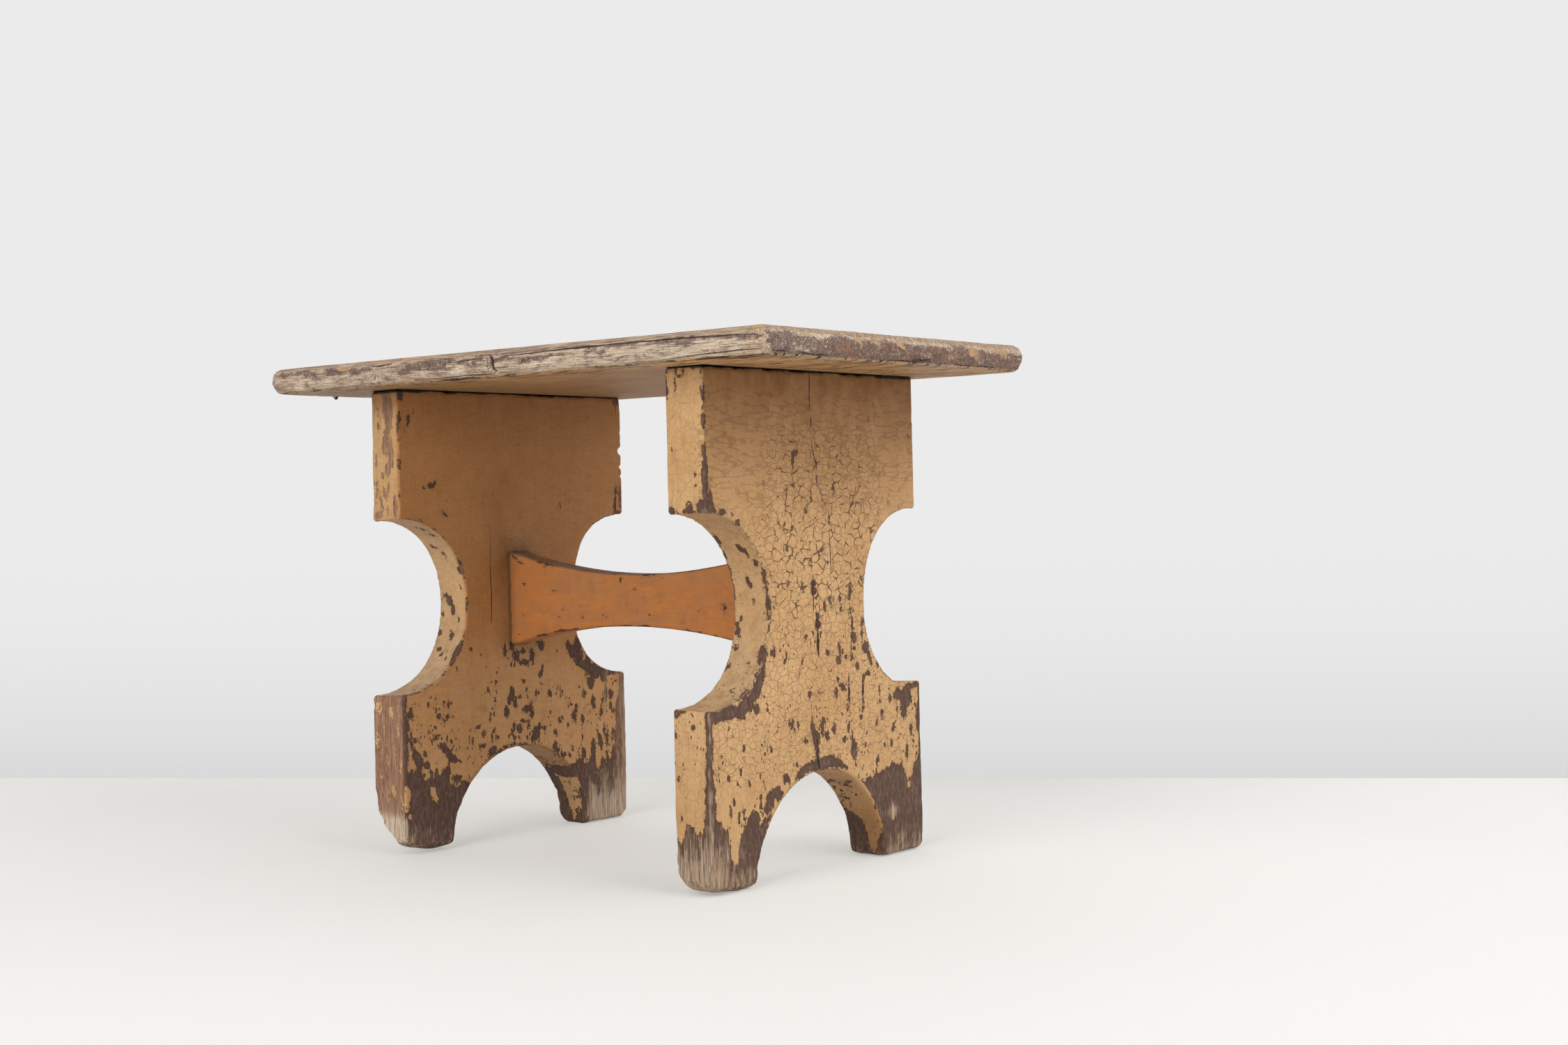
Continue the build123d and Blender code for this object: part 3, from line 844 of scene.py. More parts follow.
class Leg(Skin):
    """A leg's skin, with its vertices' distances in mm from the leg's faces, and noises."""

    def __init__(self, side, word, nails):
        super().__init__(f"{word}_leg", leg_voxel, nails)
        self.side = side
        self.right = side > 0
        self.seed = 100 if self.right else 200
        x, y, z = self.places.T
        faces = (leg_outer - side * x, side * x - leg_inner)
        self.seen, self.hidden = faces if self.right else faces[::-1]
        self.front = y + leg_half
        self.back = leg_half - y
        scallop = hypot(self.front, z - scallop_height) - scallop_radius
        self.sharp = ease(self.bulge, 0.15, 1.0)
        self.front_arris = hypot(self.front, self.seen)
        self.back_arris = hypot(self.back, self.seen)
        self.scallop_arris = hypot(scallop, self.seen)
        self.on_seen = self.seen < skin_reach
        self.on_front = self.front < skin_reach
        self.on_scallop = (scallop < skin_reach) & ~self.on_front
        self.on_arch = (hypot(y, z) - arch_radius < skin_reach) & (z < arch_top)
        self.near_seen = self.seen < face_reach
        beside = maximum(abs(y - stretcher_y) - stretcher_half_thick, 0)
        self.from_stretcher = hypot(beside, maximum(abs(z - stretcher_z) - stretcher_half_tall, 0))
        left_strip = interp(z, (0, 75, 95, 112, 130, 148), (15, 15.5, 15.5, 14, 9, 7))
        self.back_strip = 3.0 if self.right else left_strip
        self.lumps = crumbled(self.places, np.array((3.2, 3.2, 4.6)), self.seed + 50)
        self.teeth = rough_noise(self.lumps, (5, 5, 13), self.seed, 3)
        self.blobs = rough_noise(self.lumps, (10, 10, 14), self.seed + 10, 4)
        self.streaky = self.rough((4, 4, 38), self.seed + 20, 3)

    def marked(self):
        """How far inside a placed mark, or below the line of the worn feet, each vertex lies."""
        x, _, z = self.places.T
        lump_x, lump_y, lump_z = self.lumps.T
        broad, bands, narrow, scallop, foot_line = leg_marks[self.side]
        broad = inside_marks(lump_y, lump_z, broad)
        bands = inside_bands(lump_y, lump_z, bands) + 1.6 * self.blobs
        narrow = inside_marks(lump_x, lump_z, narrow)
        line = interp(lump_y, *zip(*foot_line)) + (7 if self.right else 3.5) * self.teeth
        if self.right:
            narrow = maximum(narrow, inside_bands(x, z, right_front_ring))
            front_line = interp(lump_x, *zip(*right_front_line)) + 7 * self.teeth
        else:
            front_line = 42 + 6 * self.teeth
        return most(
            maximum(broad, bands) - 1.2 * self.seen,
            only(self.on_front, narrow),
            only(self.on_scallop, inside_marks(lump_x, lump_z, scallop)),
            (where(self.on_front, front_line, line) - lump_z) * 0.6,
        )

    def rubbed(self):
        """How far inside what is worn along the arrises each vertex lies: strips, or thin broken lines."""
        _, y, z = self.places.T
        if self.right:
            strip = interp(z, (0, 60, 90, 145), (12, 6, 4.6, 3.8))
        else:
            strip = where(self.on_seen, interp(z, (0, 60, 120, 148), (9, 4, 4.5, 3)),
                          interp(z, (0, 50, 90, 148), (3, 3, 6, 6)))
        seam = -2.0 if self.right else 0.6
        return most(
            only(z < lobe_top, strip + 2.6 * self.blobs - self.front_arris),
            only(z < lobe_top, self.back_strip + 2.4 * self.blobs - self.back_arris),
            only(z > neck_bottom, seam + 2.4 * self.blobs - self.front_arris),
            5.0 * self.sharp - where(self.on_seen | self.on_front, 5.4, 4.6) + 2.8 * self.blobs,
            (z - leg_top + 1.2 + 1.6 * self.blobs) * 1.5,
            only((y < 0) & (z < 262), 1.2 + 2.4 * self.blobs - self.scallop_arris),
        )

    def flaked(self):
        """How far inside a place without paint each vertex lies."""
        x, _, z = self.places.T
        lump_x, lump_y, lump_z = self.lumps.T
        flaked = maximum(self.marked(), self.rubbed())

        # Ragged paint over the peeled narrow front of the left leg, and islands on its worn foot
        if not self.right:
            rags = inside_marks(lump_x, lump_z, left_front_rags)
            peeled = minimum(2.6 + 3.4 * self.streaky, 0.5 - 1.3 * rags)
            flaked = maximum(flaked, only(self.on_front & (z < 148), peeled))
            islands = inside_marks(lump_y, lump_z, left_inner_islands)
            flaked = where(self.on_seen, minimum(flaked, 0.4 - 1.3 * islands), flaked)

        # Inside the arch the paint stops lower, with tongues left
        if self.right:
            arch_line = 38 + 14 * self.blobs - 26 * exp(-(((x - 188) / 8) ** 2))
        else:
            arch_line = 58 + 12 * self.blobs - 46 * exp(-(((lump_x + 173) / 13) ** 4))
        in_arch = where(lump_z < arch_line, 3.0, minimum(flaked, -1.4 + 3.4 * self.blobs))
        if not self.right:
            in_arch = maximum(in_arch, 5 + 6 * self.blobs - abs(z - 52))
        return where(self.on_arch, in_arch, flaked)

    def bared(self):
        """How far inside bare wood each vertex lies: pale at the feet, brown along the worn arrises."""
        _, y, z = self.places.T
        _, lump_y, lump_z = self.lumps.T
        blobs, streaky = self.blobs, self.streaky
        arrises = 7 * self.sharp - where(self.on_seen | self.on_front, 8.2, 6.6) + 2.5 * blobs
        if self.right:
            core = (interp(z, (30, 60, 150), (4, 1.6, 0.9)) + 1.5 * blobs - self.front_arris) * 1.4
            return most(
                arrises,
                minimum((36 + 12 * streaky - z) * 0.11, (24 + 8 * streaky - self.front) * 0.2),
                (7 + 8 * blobs + 4 * streaky - z) * 0.16,
                0.8 * inside_marks(lump_y, lump_z, ((98, 38, 6, 6),)),
                only(z < lobe_top, core),
            )
        peeled = minimum(1.2 + 5 * streaky, (self.seen - 5.5 - 3 * blobs) * 0.9)
        corner = (32 - 0.4 * self.seen + 4 * self.teeth - z) * 0.6
        dark_runs = inside_marks(y, z, left_foot_runs)
        back_foot = (38 + 26 * streaky - z) * 0.12 - 5 * ease(self.back, 58, 68)
        back_foot = back_foot - 3 * ease(dark_runs, -1.2, 1.0)
        strip = minimum((self.back_strip + 1 - self.back) * 0.25, (160 - z) * 0.12) + 2.4 * streaky - 2.0
        strip = maximum(strip, 0.8 * inside_marks(lump_y, lump_z, ((114.5, 131, 1.8, 20),)) - 0.4)
        return most(
            arrises,
            only(self.on_front, maximum(peeled, corner)),
            only((y > 0) & ~self.on_arch, back_foot),
            only((y < 0) & ~self.on_front, (-8 + 12 * streaky - z) * 0.1),
            only(self.on_seen, strip),
        )

    def dirt_and_shade(self):
        """Dirt with painted shade under the seat and inside the arch, and darker round the stretcher's end.
        """
        _, y, z = self.places.T
        if self.right:
            # painted shade under the seat's overhang, with darker paint, up the right leg's outer face
            broad = interp(z, (0, 90, 190, 290, 330, 360, 385, 416),
                           (0.14, 0.07, 0.02, 0.18, 0.42, 0.62, 0.76, 0.96))
            narrow = interp(z, (60, 140, 380, 412), (0.16, 0.06, 0.09, 0.2))
            # painted shade with dirt, darker low inside the arch
            in_arch = 0.35 + 0.35 * ease(z, 60, 20)
        else:
            broad = interp(z, (130, 180, 260, 360, 416), (0.12, 0.20, 0.29, 0.26, 0.54))
            stain = 0.6 * exp(-(((y + 22) / 18) ** 2 + ((z - 300) / 50) ** 2))
            stain = stain + ease(self.from_stretcher, 26, 0)
            stained = broad + 0.36 * stain + 0.1 * ease(z, 175, 150) * ease(y, 20, -60)
            broad = where(self.on_seen, stained, broad)
            narrow = 0.12 + 0.5 * ease(z, 388, 410)
            # painted shade with dirt inside the arch, darker in its upper part and at the bottom
            in_arch = 0.12 + 0.5 * ease(z, 46, 60) + 0.4 * ease(z, 14, 6)
        in_scallop = 0.08 + 0.22 * ease(z, 262, 292)
        return laid(broad, (self.on_front, narrow), (self.on_scallop, in_scallop), (self.on_arch, in_arch))

    def tones(self):
        """The other shares that colour the paint and the wood, by name."""
        _, y, z = self.places.T
        worn_pale = ease(z, 42, 26) * ease(self.front, 30, 5) * where(self.on_seen, 0.2, 1.0)
        middle = ease(z, 392, 335) * ease(z, 185, 245) * ease(abs(y - 8), 95, 40)
        behind = self.hidden < face_reach
        greyed = interp(z, (145, 190, 220, 300), (0.55, 0.35, 0.12, 0.22))
        tones = {"dirt_and_shade": self.dirt_and_shade(), "greyed": where(self.on_scallop, greyed, 0)}
        if self.right:
            crazed = 0.3 * ease(z, 60, 100) * ease(z, 330, 260) + 0.8 * middle
            creased = 0.34 * ease(z, 286, 310) * ease(z, 412, 390)
            tones["worn_pale"] = 0.3 * worn_pale
            tones["chipping"] = interp(z, (90, 150, 190, 235), (0.03, 0.028, 0.022, 0.0))
            tones["crazing"] = laid(0.1, (self.near_seen, crazed), (behind, 0.35 * middle + 0.1))
            tones["creased"] = where(self.near_seen, creased, 0)
        else:
            chipping = interp(z, (0, 90, 130, 165, 180), (0.07, 0.05, 0.03, 0.015, 0.0))
            amber = interp(z, (0, 130, 200, 416), (0.2, 0.24, 0.5, 0.56))
            back_pale = 0.6 * ease(z, 50, 16) * ease(self.back, 62, 40) * ~self.on_arch
            tones["rosy"] = laid(0.0, (self.on_front, 1.0), (self.on_seen, 0.42 * ease(self.back, 20, 12)))
            tones["worn_pale"] = maximum(worn_pale, back_pale)
            tones["chipping"] = where(self.on_front, 0.06, chipping)
            tones["amber"] = where(self.on_seen, amber * (1 - 0.6 * ease(self.from_stretcher, 30, 4)), 0)
            tones["crazing"] = laid(0.08, (self.near_seen, 0.04), (behind, 0.35 * middle + 0.1))
            tones["creased"] = where(self.near_seen, 0.12, 0)
        return tones

    def splits(self):
        """The checks, a painted shadow line round the stretcher's end and painted shadow in the gap under
        the seat.
        """
        _, y, z = self.places.T
        check, width = nearest_check(y, z, right_outer_checks if self.right else left_inner_checks)
        thick = 1.5 + (1.7 * ease(y, 60, 105) if self.right else 1.5 * ease(y, -105, -130))
        # painted shadow in the gap under the seat
        in_gap_shadow = z > leg_top - thick - 1.3 * maximum(self.rough((16, 16, 16), self.seed + 30, 3), -0.4)
        # painted shadow line where the stretcher's end meets the left leg
        touching = (self.from_stretcher > 0) & (self.from_stretcher < 1.3) & self.on_seen & (not self.right)
        return split_open((check, where(self.seen < 3, width, 0)), (touching, 0.5), (in_gap_shadow, 1.0))

    def wear(self, fields):
        """Rounds the arrises unevenly, roughens the bare parts and sinks what has flaked."""
        z = self.places[:, 2]
        seed = self.seed + 200
        sharp = ease(self.bulge, 0.1, 1.1)
        nibble = maximum(self.rough((6, 6, 9), seed + 1, 3), 0)
        fibres = self.rough((3.2, 3.2, 26), seed + 5, 3)
        depth = 0.08 + smooth_noise(self.places, 70, seed) * 0.08 + sharp * (0.9 * nibble - 1.0)
        depth = depth + ease(z, 60, 5) * sharp * (0.8 + 1.0 * nibble)
        depth = depth + ease(fields["flaked"], -0.5, 0.7) * 0.3
        depth = depth + ease(fields["bared"], 0, 3) * (0.2 + fibres * 0.5)
        if not self.right:
            for height, half, deep in left_back_notches:
                notch = ease(self.back, 6, 0) * ease(abs(z - height), half * 1.4, half * 0.3)
                depth = depth + deep * notch
        under_seat = ease(leg_top - z, 3.4, 0.6)
        gap = 1.0 + 1.7 * maximum(self.rough((14, 9, 9), seed + 9, 3), -0.3)
        depth = depth + under_seat * ease(self.seen, 4, 0.5) * gap
        depth = depth + under_seat * ease(self.front, 4, 0.5) * (1.2 if self.right else 1.8)
        self.sink(depth)

    def saw(self):
        """Shifts the scallops and the board's ends a little off the true outline, as sawn by hand."""
        x, y, z = self.places.T
        near = leg_outer - x if self.right else -x - leg_inner
        behind = clip(near / (leg_outer - leg_inner), 0, 1)

        def shifted(values, table):
            at, seen, hidden = zip(*table)
            return interp(values, at, seen) * (1 - behind) + interp(values, at, hidden) * behind

        for end in (-1, 1):
            inward = leg_half - end * y
            rise = z - scallop_height
            distance = hypot(inward, rise)
            turn = np.degrees(np.arctan2(rise, inward))
            near = ease(abs(distance - scallop_radius), 26, 3) * (inward > -3)
            shift = shifted(turn, scallop_shifts[self.side, end]) * near / maximum(distance, 1)
            y = y - end * inward * shift
            z = z + rise * shift
        for end in (-1, 1):
            y = y + end * shifted(z, end_shifts[self.side, end]) * ease(end * y, 92, 132)
        self.places = np.stack((x, y, z), axis=1)

    def round_feet(self):
        """Rounds the feet under, the front ones more."""
        x, y, z = self.places.T
        from_arch = clip(abs(y) - arch_radius, 0, foot_rounding)
        bend = foot_rounding - np.sqrt(foot_rounding**2 - (foot_rounding - from_arch) ** 2)
        z = maximum(z - (0.7 if self.right else 1.0) * bend * ease(z, 30, 9), 0)
        if not self.right:
            swell = 3.0 * ease(z, 10, 20) * ease(z, 56, 40) * (y < 0)
            x = x - swell * ease(-x, leg_inner + 12, leg_outer - 10)
        rest_x, rest_y, slope = front_rests[self.side]
        front_rise = slope * maximum(hypot(x - rest_x, y - rest_y) - rest_reach, 0)
        to_side = minimum(leg_outer - abs(x), abs(x) - leg_inner)
        to_end = minimum(leg_half - abs(y), abs(y) - arch_radius + 6)
        rim = maximum(foot_rounding - minimum(to_side, to_end), 0)
        rounding = rim**2 / (2 * foot_rounding)
        worn_outside = 0.045 * maximum(14 - leg_outer + abs(x), 0) ** 2 * (not self.right)
        bottom = where(y < 0, front_rise + rounding, 0.5 * rounding + worn_outside)
        lifted = bottom + clip(z / foot_height, 0, 1) * (foot_height - bottom)
        self.places = np.stack((x, y, where(z < foot_height, lifted, z)), axis=1)


# How much deeper than true circles the scallops are sawn: turn in degrees, mm at the seen arris, behind it
scallop_shifts = {
    (1, -1): ((-90, -1, -1.4), (-76, -0.2, -0.4), (-62, 0.4, 1.2), (-45, 0.6, 2.4), (-30, 0.4, 1.5),
              (-12, -0.8, 0.2), (0, -1.2, -0.6), (20, -1, -0.4), (40, -0.3, 0.2), (60, 0.2, 0.3),
              (90, 0.3, -0.4)),
    (1, 1): ((-90, -3.7, -2), (-80, -3.2, -1.6), (-74, -1.6, -0.4), (-69, 0.8, 0.6), (-63, 2.6, 1.6),
             (-50, 3.2, 2), (-35, 3, 2), (-20, 2.4, 1.6), (0, 0.8, 0.6), (15, 1.6, 1), (30, 3, 2),
             (45, 3.8, 2.4), (60, 3.6, 2.4), (75, 1.6, 1), (90, 0.3, 0.2)),
    (-1, -1): ((-90, 0.4, 2.2), (-75, 0.4, 2.8), (-60, 0.3, 3.2), (-45, 0.4, 3.2), (-30, 0.3, 2.2),
               (-12, -0.6, 1.2), (0, -1.2, 0.8), (15, -0.6, 1), (35, 0.3, 2.4), (50, 0.4, 2.6),
               (68, 0.3, 0.8), (90, 0.2, -1.6)),
    (-1, 1): ((-90, 0.4, 0.2), (-70, 0.2, 0), (-56, -0.5, -0.5), (-42, -2.6, -2), (-30, -5, -4),
              (-10, -7.6, -6), (10, -8.6, -7), (25, -8.2, -6.6), (33, -6, -5), (41, -3.4, -3),
              (50, -1.4, -1.4), (62, 0.2, 0.2), (90, 0.4, 0.4)),
}
# How far the boards' ends stand out past the plain board, in mm: height, at the seen arris, behind it
end_shifts = {
    (1, -1): ((0, 0, -0.2), (146, 0, -0.8), (299, 0, 0.5)),
    (1, 1): ((0, 1.8, 0.8), (30, 2.2, 0.8), (50, 1.2, 0.5), (90, 0.5, 0.2), (146, 0.4, 0),
             (299, -2, -0.8), (416, -2.7, -1.2)),
    (-1, -1): ((46, 0, 0), (60, 0, 3.6), (90, 0, 3.6), (130, 0, 3.2), (146, 0, 2.8), (299, 0, -1.4),
               (330, 0, -2), (400, 0, -2.8)),
    (-1, 1): ((0, 1.6, 1.2), (30, 2.2, 1.4), (110, 2, 1.2), (146, 1.6, 1), (299, 3.2, 2.4),
              (330, 3.6, 2.4), (370, 3.2, 2.4), (416, 3.4, 2.4)),
}


def make_leg(side, word):
    stretcher_nails = nail_names("stretcher", word)
    leg = Leg(side, word, nail_names("seat", word) + stretcher_nails)
    check, check_width = leg.splits()
    fields = {"flaked": leg.flaked(), "bared": leg.bared(), "check": check, "check_width": check_width}
    leg.note(fields | leg.tones())
    leg.wear(fields)
    leg.keep()
    leg.saw()
    leg.round_feet()
    leg.dish(stretcher_nails, 5.4, 1.3)
    leg.keep((1.5, 4.5, 0))
    piece = leg.write(leg_paint)
    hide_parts(f"{word}_leg")
    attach(piece, "root")


leg_paint = painted_wood(
    "leg_paint", 2, linear(191, 150, 101), linear(201, 161, 113), linear(120, 75, 33), linear(84, 62, 52),
    linear(122, 96, 82), dark_wood, pale_wood, crease_size=(17, 17, 4.2),
)
make_leg(1, "right")
make_leg(-1, "left")


# Seat board
seat_low, seat_high = (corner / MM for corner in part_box("seat_board"))

# Remnants of the older coat and of paint along the front edge: X, Z, half sizes, lean
front_edge_undercoat = (
    (-266, 432, 8, 1.8), (-252, 434, 16, 2, 2), (-228, 431, 8, 2.2), (-203, 434.5, 8, 2),
    (-197, 430.5, 11, 2.2), (-224, 427, 5, 1.2), (-168, 430, 7, 2.2), (-157, 431.5, 8, 1.2),
    (-102, 426.5, 9, 3.2, 5), (-86, 430.5, 14, 2.4, 3), (-58, 432, 17, 3, 4), (-64, 426.5, 12, 1.8),
    (-50, 437.6, 20, 1.3), (-29, 430.5, 6, 1.8, 4), (-11, 431.5, 5, 2.2), (-19, 427, 7, 1),
    (-4, 436, 12, 1), (21, 430, 10, 1.7, 2), (56, 428, 14, 1.7, 3), (44, 425, 6, 1), (36, 435.6, 26, 0.9),
    (83, 429.5, 9, 1.2), (110, 434, 18, 1.3), (118, 430, 6, 1.6), (130, 428.2, 4, 1.2),
    (136, 432.5, 4, 1.4), (155, 434, 16, 1.2, 2), (196, 432, 6, 2.2), (206, 433.6, 8, 1.2),
    (217, 429.5, 8, 2.2), (229, 433, 10, 1.2), (256, 432, 16, 1.1), (284, 430, 8, 1.6),
)
front_edge_paint = (
    (-182, 434, 12, 2.2, 2), (-130, 436, 15, 2.4, 2), (-104, 437.4, 12, 2.2, 2), (-82, 438.6, 9, 1.8),
    (-222, 437, 12, 1.2), (286, 438, 8, 2.4), (284, 424, 7, 1.2), (276, 421.5, 6, 1),
)
front_edge_lines = (
    ((12, 432, 0.2), (60, 433, 0.5), (100, 433.6, 0.6), (150, 434.4, 0.5), (200, 433.8, 0.6),
     (240, 433, 0.5), (290, 431.5, 0.2)),
    ((-48, 430.5, 0.2), (-20, 431.5, 0.4), (-6, 432, 0.3)),
    ((-148, 434.2, 0.2), (-134, 433.6, 0.6), (-119, 435, 0.2)),
    ((190, 417.8, 0.1), (208, 418.2, 0.25), (240, 419.2, 0.35), (270, 420.6, 0.35), (290, 420, 0.2)),
    ((-96, 418.2, 0.1), (-60, 418, 0.25), (-20, 418.4, 0.25), (4, 418.2, 0.1)),
)
# Patches on the right end: Y, Z
right_end_wood = (
    (-166, 437, 10, 2), (-125, 434, 16, 3, -6), (-68, 431, 8, 3, -25), (-46, 432, 7, 3.4, -30),
    (-12, 431, 8, 3.6, -20), (10, 434, 12, 2.4), (45, 434, 14, 2.4, -8), (91, 429.5, 9, 5, -25),
    (112, 433, 12, 3, -10), (136, 432, 12, 4.6, -15), (158, 433, 8, 3), (-137, 422.5, 8, 1.8),
    (22, 424, 5, 2), (60, 424, 5, 1.8), (105, 422, 5, 1.6),
)
right_end_paint = (
    (-68, 432, 6, 2.4, -25), (-46, 433, 6, 2.6, -25), (-11, 431, 7, 3.2, -30), (42, 424, 5, 1.8),
    (91, 429.5, 7, 4.6, -25), (112, 434.5, 8, 2), (136, 433, 10, 3, -10), (-128, 434, 8, 1.8),
)
# The short slanting slot and a knot's curl in the front edge: Z, X, half width
front_edge_slot = (
    ((418.5, 6.4, 0.8), (421, 6, 1.5), (425, 5.4, 1.8), (430, 4.2, 1.3), (434, 3.2, 0.6)),
    ((420.5, -144, 0.3), (423.5, -143.5, 0.7), (426, -141, 0.5)),
)
# Cracks along the grain of the underside by its right end: X, Y, half width
under_cracks = (
    ((222, -173, 0.6), (250, -173.5, 1.6), (292, -172, 1.4)),
    ((228, -163, 0.5), (262, -163.5, 1.8), (297, -161, 1.2)),
    ((258, -152, 0.5), (280, -152.6, 2), (297, -151, 1)), ((272, -136, 0.6), (297, -137, 2)),
    ((268, -108, 0.6), (297, -109, 2)), ((276, -76, 0.6), (297, -76, 1.8)),
    ((270, -30, 0.5), (297, -30.5, 2.2)), ((276, 14, 0.6), (297, 13, 1.8)),
    ((272, 50, 0.6), (297, 50, 1.8)), ((280, 92, 0.5), (297, 92, 1.6)),
)
# Cracks along the lower part of the right end: Y, Z, half width
end_cracks = (
    ((-178, 420.2, 0.1), (-168, 419.2, 0.25), (-152, 419.8, 0.1)),
    ((-138, 418.8, 0.1), (-118, 418.2, 0.25), (-104, 419, 0.1)),
    ((-180, 417.4, 0.2), (-150, 417.2, 0.35), (-118, 417, 0.3), (-84, 417.6, 0.1)),
    ((-60, 417.4, 0.2), (-30, 417, 0.45), (-2, 418.2, 0.4), (26, 417.2, 0.45), (60, 417, 0.2)),
    ((8, 420.2, 0.2), (20, 419.6, 0.4), (34, 420.4, 0.2)),
    ((70, 418, 0.2), (96, 417.4, 0.4), (130, 418, 0.2)),
)
# Whitish places along the front edge's lower half: X, half width
whitish_places = ((-228, 40), (-38, 14), (215, 34), (250, 22), (118, 20), (66, 30))
slot_height = 425.5  # of its middle
splinter = (-287, -108)  # X and Y of the small one that hangs under the left end
splinter_length = 3.6
# Half sizes along X and Y of where the seat rests on a leg, and of the painted shadow in the gap between
# them
seat_rest = (22, 143)
seat_gap_shadow = (20.5, 142.5)


def slot_depth(x, z):
    """1 in the middle of the short slanting slot, 0 outside it."""
    line = 5.3 - 0.2 * (z - slot_height)
    return ease(abs(x - line), 2.6, 0.9) * ease(abs(z - slot_height), 9.5, 7.5)


def over_legs(x, y, half_sizes):
    """Where the seat lies over a leg, by the half sizes of that part along X and Y."""
    return (abs(abs(x) - leg_middle) < half_sizes[0]) & (abs(y) < half_sizes[1])


class Seat(Skin):
    """The seat's skin, with which of the board's faces each vertex is on, and noises."""

    def __init__(self, nails):
        super().__init__("seat_board", seat_voxel, nails, seat_rise)
        x, y, z = self.places.T
        normal_x, normal_y, normal_z = self.normals.T
        self.side_share = hypot(normal_x, normal_y)
        self.blobs = self.rough((16, 12, 4), 500)
        self.fine = self.rough((7, 5, 2.4), 505, 3)
        self.rags = self.rough((46, 11, 8), 510)
        self.spread = self.rough((120, 60, 60), 520, 3)
        self.lumps = crumbled(self.places, np.array((6.0, 4.2, 2.6)), 540)
        self.below = (z < seat_low.z + 3) & (normal_z < -0.9)
        self.above = normal_z > 0.62
        border = ~self.below & ~self.above
        on_front = border & (normal_y < -0.3)
        on_end = border & (abs(normal_x) > 0.3) & ~(on_front & (abs(normal_y) > abs(normal_x)))
        over_corner = on_end & (normal_x > 0) & (y < -176 + 6 * self.fine - 0.5 * (z - 428))
        self.on_front = on_front & ~on_end | over_corner
        self.on_end = on_end & ~over_corner
        self.on_right = self.on_end & (normal_x > 0)
        self.on_back = border & (normal_y > 0.3)
        from_ends = minimum(x - seat_low.x, seat_high.x - x)
        self.from_edge = minimum(from_ends, minimum(y - seat_low.y, seat_high.y - y))
        self.near_rim = ease(self.from_edge, 22, 9)
        self.from_splinter = hypot(x - splinter[0], y - splinter[1])

    def flaked(self):
        """How far inside a place without paint: whole below, rags at the edges, little on top."""
        x, y, z = self.places.T
        _, lump_y, lump_z = self.lumps.T
        front_paint = 0.6 - 2.2 * inside_marks(x, z, front_edge_paint) + 1.2 * self.fine
        top_paint = 3.2 - 9 * maximum(self.rags, 0) - 7 * maximum(self.spread, 0) + 5 * self.near_rim
        right_paint = 0.8 - 1.5 * inside_marks(lump_y, lump_z, right_end_paint) + 2.2 * self.fine
        return laid(
            4.0,
            (self.below, -5 + 4.2 * ease(self.from_edge, 20, 11) * (1 + self.rags)),
            (self.above, top_paint),
            (self.above & (y < seat_low.y + 12), minimum(top_paint, front_paint + 1)),
            (self.on_front, front_paint),
            (self.on_end, 2.6 - 6 * maximum(self.rough((14, 14, 5), 530), 0)),
            (self.on_right, right_paint),
        )

    def bared(self):
        """How far inside bare wood: patches placed on the seen edges, ragged bands on the others."""
        x, y, z = self.places.T
        lump_x, lump_y, lump_z = self.lumps.T
        coat = inside_marks(lump_x, lump_z, front_edge_undercoat)
        coated = ease(coat, -1.2, 0.4)
        front_wood = 1.4 - 3.9 * coated - 0.8 * maximum(coat, 0) + (2.6 - 1.2 * coated) * self.fine
        right_wood = 1.3 * clip(inside_marks(lump_y, lump_z, right_end_wood), -2.5, 2.5) - 0.7
        right_wood = right_wood + 2.0 * self.blobs + 3.4 * self.rough((3.4, 3.4, 2.4), 545, 3)
        top_wood = 1.5 + 9 * self.rough((60, 14, 14), 550) - 3 * self.spread
        return laid(
            3.0,
            (self.on_front, front_wood + 1.2 * self.blobs + 0.5 * ease(x, 30, 110)),
            (self.on_end, 1.8 - 4.5 * ease(z, seat_low.z + 17, seat_low.z + 8) + 7 * self.blobs),
            (self.on_right, right_wood + 5 * ease(z, 431, 435.5) * ease(y, -176, -130)),
            (self.on_back, 0.5 + 7 * self.blobs),
            (self.above, top_wood * (1 - 0.6 * self.near_rim) + 2.4 * self.near_rim),
        )

    def tones(self):
        """The shares that colour the paint and the wood, by name."""
        x, y, z = self.places.T
        whitened = 0.42 + 0.5 * ease(self.rags, 0.2, 0.4)
        for place, half in whitish_places:
            whitened = whitened + ease(abs(x - place), half, half * 0.3) * ease(z, 429, 425)
        whitened = clip(whitened, 0, 1) + 0.5 * ease(x, 40, 110) * ease(z, 435, 429) * ease(x, 284, 270)
        end_whitened = 0.12 + 0.88 * ease(y, -70, -150) + 0.6 * ease(z, 428, 434)
        # darker under the left part of the seat, less near its edges
        dirt_and_shade = interp(x, (-298, -200, -60, 160, 298), (0.5, 0.62, 0.5, 0.26, 0.16)) + 0.1 * self.spread
        greyed = self.below * (0.6 * ease(x, -195, -215) + 0.35 * ease(self.from_edge, 30, 6))
        rosy = clip(0.2 + 1.2 * self.blobs, 0, 0.8) * ease(y, -150, -90)
        return {
            "dirt_and_shade": where(self.below, dirt_and_shade - 0.22 * ease(self.from_edge, 44, 8), 0.15),
            "chipping": where(self.below, 0.012, 0.10),
            "rosy": laid(0.1 * self.side_share, (self.on_right, rosy)),
            "worn_pale": laid(0.0, (self.on_front, whitened), (self.on_end, end_whitened)),
            "greyed": greyed + 0.4 * (self.on_end | self.on_front),
            "creased": self.below * (0.25 + 0.75 * clip(ease(x, 190, 215) + ease(y, -143, -150), 0, 1)),
        }

